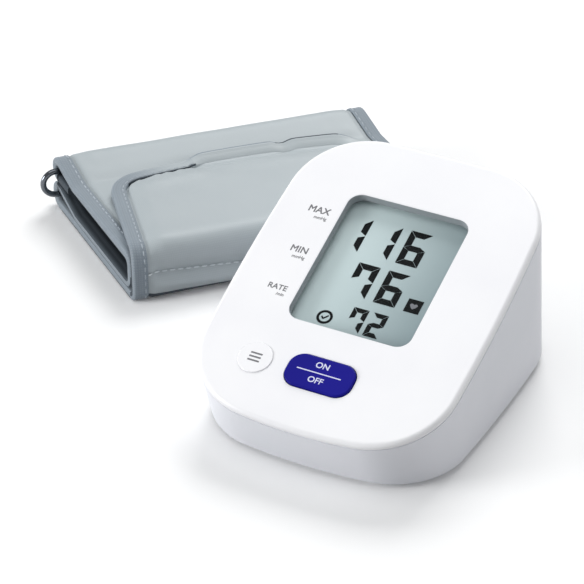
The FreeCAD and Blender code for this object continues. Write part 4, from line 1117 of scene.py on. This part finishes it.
def roll_finish(row, side):
    """Painted shade: the tail takes the dark cloth all round, the top and bottom on one side, and the inside
    all but its outermost edge.
    """
    layer = STATIONS[row].layer
    in_shade = layer == "tail"
    if layer in ("top", "bottom") or (layer == "inside" and STATIONS[row].z > ROLL_Z):
        in_shade = side < PALE_SIDES[0]
    elif layer == "inside":
        in_shade = side not in PALE_SIDES
    return SHADE_FACE if in_shade else TAPE_FACE


def edge_place(station, inset, left):
    return station.point(inset if left else CUFF_L - inset, 0.0)


def roll_end_frames(left):
    inward = ALONG if left else -ALONG
    flat = [station for station in STATIONS if station.layer != "nose"]
    return [(edge_place(station, 0.0, left), inward, station.out, station.length) for station in flat]


sweep_tape("cuff_tape_left", roll_end_frames(True), "cuff_binding_left", roll_finish)
sweep_tape("cuff_tape_right", roll_end_frames(False), "cuff_binding_right", roll_finish)

# %% Tape round the front and the flap
HEM_ENDS = (50.0, 121.0)
EDGE_SIDES = (5, 6, 7, 8)
EDGE_PAINTED_SHADE = (86.0, 113.0)
NEAR = 0.1


def in_cuff(place):
    """Across and along the roll, from a place in metres."""
    spot = place / MM - CUFF_CORNER
    u = spot.dot(ALONG_SQUARE) / ACROSS.dot(ALONG_SQUARE)
    return u, (spot - ACROSS * u).dot(ALONG)


def front_frames(left):
    """Up the front, from the table to the flap."""
    frames = []
    for station in on_layers("bottom")[-1:] + on_layers("nose"):
        past = past_turn(station)
        turn = math.atan2(edge_ease(past + NEAR) - edge_ease(past - NEAR), 2 * NEAR)
        inward = (ALONG if left else -ALONG) * math.cos(turn) - station.forward * math.sin(turn)
        frames.append((edge_place(station, edge_ease(past), left), inward, station.out, station.length))
    return frames


def flap_frames():
    pairs = list(zip(left_edge(0.0)[1:], left_edge(TAPE_W)[1:]))
    pairs += [(mirror(spot), mirror(deep)) for spot, deep in reversed(pairs[:-1])]
    frames = []
    length = NOSE_END.length
    before = None
    for spot, deep in pairs:
        edge = flap_point(*spot, 0.0)
        inward = (flap_point(*deep, 0.0) - edge).normalized()
        length += (edge - before).length / MM if before else 0.0
        before = edge
        frames.append((edge, inward, UP, length))
    return frames


left_front = front_frames(True)
right_front = front_frames(False)[::-1]
flap_way = left_front + flap_frames() + right_front


def flap_finish(row, side):
    """On the front, tape with painted shade cloth behind it; round the flap, tape, with hem cloth in the hem
    and a painted shadow line on part of the hem's edge.
    """
    u, along = in_cuff(flap_way[row][0])
    if row < len(left_front) or row >= len(flap_way) - len(right_front):
        return SHADE_FACE if side > PALE_SIDES[0] else TAPE_FACE
    if u < FLAP_START or not HEM_ENDS[0] < along < HEM_ENDS[1]:
        return TAPE_FACE
    if side not in EDGE_SIDES:
        return HEM_FACE
    # On part of the hem's edge the dark cloth is a painted shadow line.
    return SHADE_FACE if EDGE_PAINTED_SHADE[0] < along < EDGE_PAINTED_SHADE[1] else TAPE_FACE


flap_tape = sweep_tape("flap_tape", flap_way, "flap_binding", flap_finish)

# %% Wear the tape pale towards the hem, keep a painted shadow line on the hem's top edge, and round the hem
WORN = (18.0, 44.0)
WORN_MOST = 0.85
HEM_DROP = 1.2
HEM_FROM = 1.0
EDGE_SHADE_LINE = 1.4
wear_and_edge_shade = flap_tape.data.attributes.new("wear_and_edge_shade", "FLOAT", "POINT")
wear = []
for edge, inward, out, length in flap_way:
    u, along = in_cuff(edge)
    at_end = smooth(u, *END_U)
    share = WORN_MOST * smooth(along, *WORN) * at_end
    hem = hem_share(along) * at_end
    for x, y in TAPE_SECTION:
        point = flap_tape.data.vertices[len(wear)].co
        point.z -= HEM_DROP * MM * hem * smooth(x, HEM_FROM, TAPE_W) if y > 0 else 0.0
        # Along the hem's top edge the tape keeps its darker colour: a painted shadow line.
        wear.append(share * (1 - hem) if x < EDGE_SHADE_LINE and y > 0 else share)
wear_and_edge_shade.data.foreach_set("value", wear)
print("worn points", sum(1 for share in wear if share > 0))

# %% Painted shadow line beside the tape
SHADE_LINE_W = 0.4
SHADE_LINE_UNDER = 0.5
SHADE_LINE_DEEP = 0.1
SHADE_LINE_TOP = 1.85
SHADE_LINE_LEAST = 0.3
SHADE_LINE_CURVE = 0.7
SHADE_LINE_COUNT = 23
SHADE_LINE_STEPS = slice(MIDDLE_OF_CORNER, MIDDLE_OF_CORNER + SHADE_LINE_COUNT)
# A thin strip of dark cloth lies on the inner edge of the tape near the flap's corner, as a painted shadow line
# where the flap's cloth meets the tape.
near = left_edge(TAPE_W - SHADE_LINE_UNDER)[SHADE_LINE_STEPS]
far = left_edge(TAPE_W + SHADE_LINE_W)[SHADE_LINE_STEPS]
rows = []
for outer, inner, turn in zip(near, far, spaced(0, math.pi, len(near) - 1)):
    # At the last step the sine can come out a hair below zero.
    width_share = max(math.sin(turn), 0.0) ** SHADE_LINE_CURVE
    deep = outer.lerp(inner, mix(SHADE_LINE_LEAST, 1.0, width_share))
    corners = ((outer, SHADE_LINE_TOP), (deep, SHADE_LINE_TOP), (deep, SHADE_LINE_DEEP), (outer, SHADE_LINE_DEEP))
    points = [flap_point(*spot, out) for spot, out in corners]
    rows.append([(point, point / MM) for point in points])
cloth_piece("flap_painted_shadow", rows, (SHADE_CLOTH,))
print("backing rows", len(rows))

# %% [markdown]
# ## Stitches
# A lock stitch shows as short dashes of thread that dive into the cloth at both ends. Each dash is a small
# spindle laid on the surface. They run along the inner edge of the tapes and across the front of the roll.

# %% Lay the stitches
STITCH_L = 2.3
STITCH_GAP = 1.0
STITCH_R = 0.24
SPINDLE = ((-0.5, 0.25), (-0.3, 0.9), (0.0, 1.0), (0.3, 0.9), (0.5, 0.25))
SIDES = 6
SHORTEST = 1e-7
SEW_IN = 4.8
SEW_LOW = 3.0


def spindle(middle, forward, out, radius):
    across = forward.cross(out).normalized()
    points = []
    for place, fat in SPINDLE:
        for turn in spaced(0, 2 * math.pi, SIDES)[:-1]:
            ring = across * math.cos(turn) + out * math.sin(turn)
            points.append(middle + (forward * place * STITCH_L + ring * fat * radius) * MM)
    return points


def make_stitches(name, paths, radius, thread):
    """Spindles along paths of (point, out) pairs, all in metres."""
    points = []
    for path in paths:
        walked = 0.0
        for (start, out), (end, _) in zip(path, path[1:]):
            run = (end - start).length
            if run < SHORTEST:
                continue
            forward = (end - start) / run
            while walked < run:
                points.extend(spindle(start + forward * walked, forward, out, radius))
                walked += (STITCH_L + STITCH_GAP) * MM
            walked -= run
    stitch = strip_faces(len(SPINDLE), SIDES)
    firsts = range(0, len(points), len(SPINDLE) * SIDES)
    faces = [[first + i for i in face] for first in firsts for face in stitch]
    piece = make_piece(name, points, faces, thread, "cuff")
    add_place(piece, [point / MM for point in points])
    print(name, len(firsts))


paths = []
for along in (SEW_IN, CUFF_L - SEW_IN):
    paths.append([(station.point(along, -TAPE_HALF), -station.out) for station in on_layers("loop", "top")])
sewn = [(edge + (inward * SEW_IN + out * TAPE_HALF) * MM, out) for edge, inward, out, length in flap_way]
hemmed = [row for row in range(len(flap_way)) if flap_finish(row, 0) == HEM_FACE]
raised = [row for row, section in enumerate(flap_way) if section[0].z > SEW_LOW * MM]
paths.append(sewn[raised[0]:hemmed[0]])
paths.append(sewn[hemmed[-1] + 1:raised[-1] + 1])
make_stitches("tape_stitches", paths, STITCH_R, THREAD)

# %% Stitch the front seam
SEAM_R = 0.36
SEAM_STEPS = 89
SEAM_RISE = 0.3
SEAM_IN = 1.0
SEAM_START = TAPE_W + SEAM_IN
UPRIGHT = 0.999
wall = next(station for station in on_layers("nose") if abs(station.forward.z) > UPRIGHT)
seam = []
for along in spaced(SEAM_START, CUFF_L - SEAM_START, SEAM_STEPS):
    station = next_station(wall, "nose", 0, seam_height(along) - wall.z, 1.0)
    seam.append((station.point(along, HALF + nose_swell(station, along) + SEAM_RISE), station.out))
make_stitches("seam_stitches", [seam], SEAM_R, SEAM_THREAD)

# %% [markdown]
# ## Pads and bladder
# Hook and loop pads hold the flap down, and the bladder lies inside the band. They are hidden while the cuff
# is rolled. Each is a thin pad with soft edges, so that it still looks right when the cuff is taken apart.

# %% Hidden soft pads
PAD_STEPS = 12
PAD_FILL = 0.95
PAD_EDGE = 0.4
PAD_POWER = 8


def soft_pad(name, node, material):
    """A pad in the place of a CAD pad: rings of points along its top and back along its underside."""
    low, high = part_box(node)
    source = [vertex.co for vertex in frame["nodes"][node].data.vertices]
    middle = sum(source, Vector()) / len(source)
    half_u = max(abs((spot - middle).dot(ALONG_SQUARE)) for spot in source)
    half_a = max((spot - middle).dot(ALONG) for spot in source) - half_u * abs(ACROSS.dot(ALONG))
    reach = ACROSS * (half_u / ACROSS.dot(ALONG_SQUARE))
    shares = spaced(-1, 1, PAD_STEPS)
    ring = [(t, PAD_FILL) for t in shares] + [(t, -PAD_FILL) for t in reversed(shares)]
    rows = []
    for s in shares:
        row = []
        for t, fill in ring:
            full = (1 - s ** PAD_POWER) * (1 - t ** PAD_POWER)
            rise = (high.z - low.z) / 2 * mix(PAD_EDGE, 1.0, full) * fill
            point = middle + reach * s + ALONG * (t * half_a) + UP * rise
            row.append((point, (s * half_u / MM, t * half_a / MM, 0.0)))
        rows.append(row)
    piece = cloth_piece(name, rows, (material,))
    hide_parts(node)
    return piece


soft_pad("hook_patch", "hook_pad", HOOK_PILE)
soft_pad("loop_patch", "loop_pad", LOOP_PILE)
soft_pad("air_bladder", "cuff_bladder", BLADDER_RUBBER)
print("pads ready")

# %% [markdown]
# ## Floor, light and camera
# The object stands on a white table in soft studio light: large lamps above and behind, two low ones on the
# left and the right, and an even white room. They stand far off, so that the table is lit evenly. The table
# takes shadows as any surface does. To the camera, and in reflections, it is paler than it is to the light
# that it throws back, so that it reads as a white page without more light on the object.

# %% Floor
FLOOR_SIZE = 6.0
FLOOR_DROP = 0.00008
FLOOR_LIFT = 0.03
FLOOR_SHADES = {"To Min": 0.50, "To Max": 0.97}


def seen_by(tree, *kinds):
    """One for these kinds of ray, and zero for all others."""
    rays = add_node(tree, "LightPath", {}).outputs
    seen = rays["Is Camera Ray"]
    for kind in kinds:
        seen = combine(tree, "MAXIMUM", seen, rays[kind])
    return seen


values = {"Roughness": 0.7, "Specular IOR Level": 0.2, "Emission Color": (1.0, 1.0, 1.0, 1.0)}
laminate, tree, shader = start_material("white_table_laminate", values)
seen = seen_by(tree, "Is Glossy Ray", "Is Transmission Ray")
tree.links.new(remap(tree, seen, FLOOR_SHADES), shader.inputs["Base Color"])
tree.links.new(combine(tree, "MULTIPLY", seen, FLOOR_LIFT), shader.inputs["Emission Strength"])
floor_mesh = bpy.data.meshes.new("table")
corners = [(FLOOR_SIZE / 2 * i, FLOOR_SIZE / 2 * j, -FLOOR_DROP) for i, j in SQUARE]
floor_mesh.from_pydata(corners, [], [[0, 1, 2, 3]])
floor_mesh.materials.append(laminate)
floor = add_object("table", floor_mesh)
print("table", FLOOR_SIZE, "m wide")

# %% White room
ROOM_LIGHT = 0.37
ROOM_COLOUR = (0.95, 0.97, 0.985, 1.0)
world = bpy.data.worlds.new("white_room")
world.use_nodes = True
bpy.context.scene.world = world
tree = world.node_tree
strength = remap(tree, seen_by(tree, "Is Transmission Ray"), {"To Min": ROOM_LIGHT, "To Max": 1.0})
background = tree.nodes["Background"]
background.inputs["Color"].default_value = ROOM_COLOUR
tree.links.new(strength, background.inputs["Strength"])
print("room light", ROOM_LIGHT)

# %% Lamps
# Name, place, aim, size in metres and power in watts.
LAMPS = (
    ("top_softbox", (-0.32, -0.50, 2.08), (0.0, 0.03, 0.03), 1.3, 8.0),
    ("back_softbox", (-0.24, 1.30, 1.45), (0.0, 0.03, 0.03), 1.1, 22.0),
    ("front_fill", (-1.92, -1.60, 0.64), (0.0, 0.0, 0.03), 1.0, 42.0),
    ("right_fill", (2.00, 0.30, 0.70), (0.0, 0.0, 0.03), 1.0, 5.0),
)
for name, place, aim, size, power in LAMPS:
    lamp = bpy.data.lights.new(name, "AREA")
    lamp.size = size
    lamp.energy = power
    holder = add_object(name, lamp)
    holder.location = place
    holder.rotation_euler = (Vector(place) - Vector(aim)).to_track_quat("Z", "Y").to_euler()
print("lamps placed", len(LAMPS))

# %% Camera
PHOTO_SIZE = 584
FOCAL_PX = 2669.95
CAMERA_AT = (0.353896, -0.742271, 0.577214)
CAMERA_DOWN = 32.877
CAMERA_ROUND = 27.4543
camera_data = bpy.data.cameras.new("photo_camera")
camera_data.sensor_fit = "HORIZONTAL"
camera_data.lens = camera_data.sensor_width * FOCAL_PX / PHOTO_SIZE
camera = add_object("photo_camera", camera_data)
camera.location = CAMERA_AT
camera.rotation_euler = (math.radians(90.0 - CAMERA_DOWN), 0.0, math.radians(CAMERA_ROUND))
bpy.context.scene.camera = camera
bpy.context.scene.view_settings.view_transform = "Standard"
print("lens", round(camera_data.lens, 1), "mm")
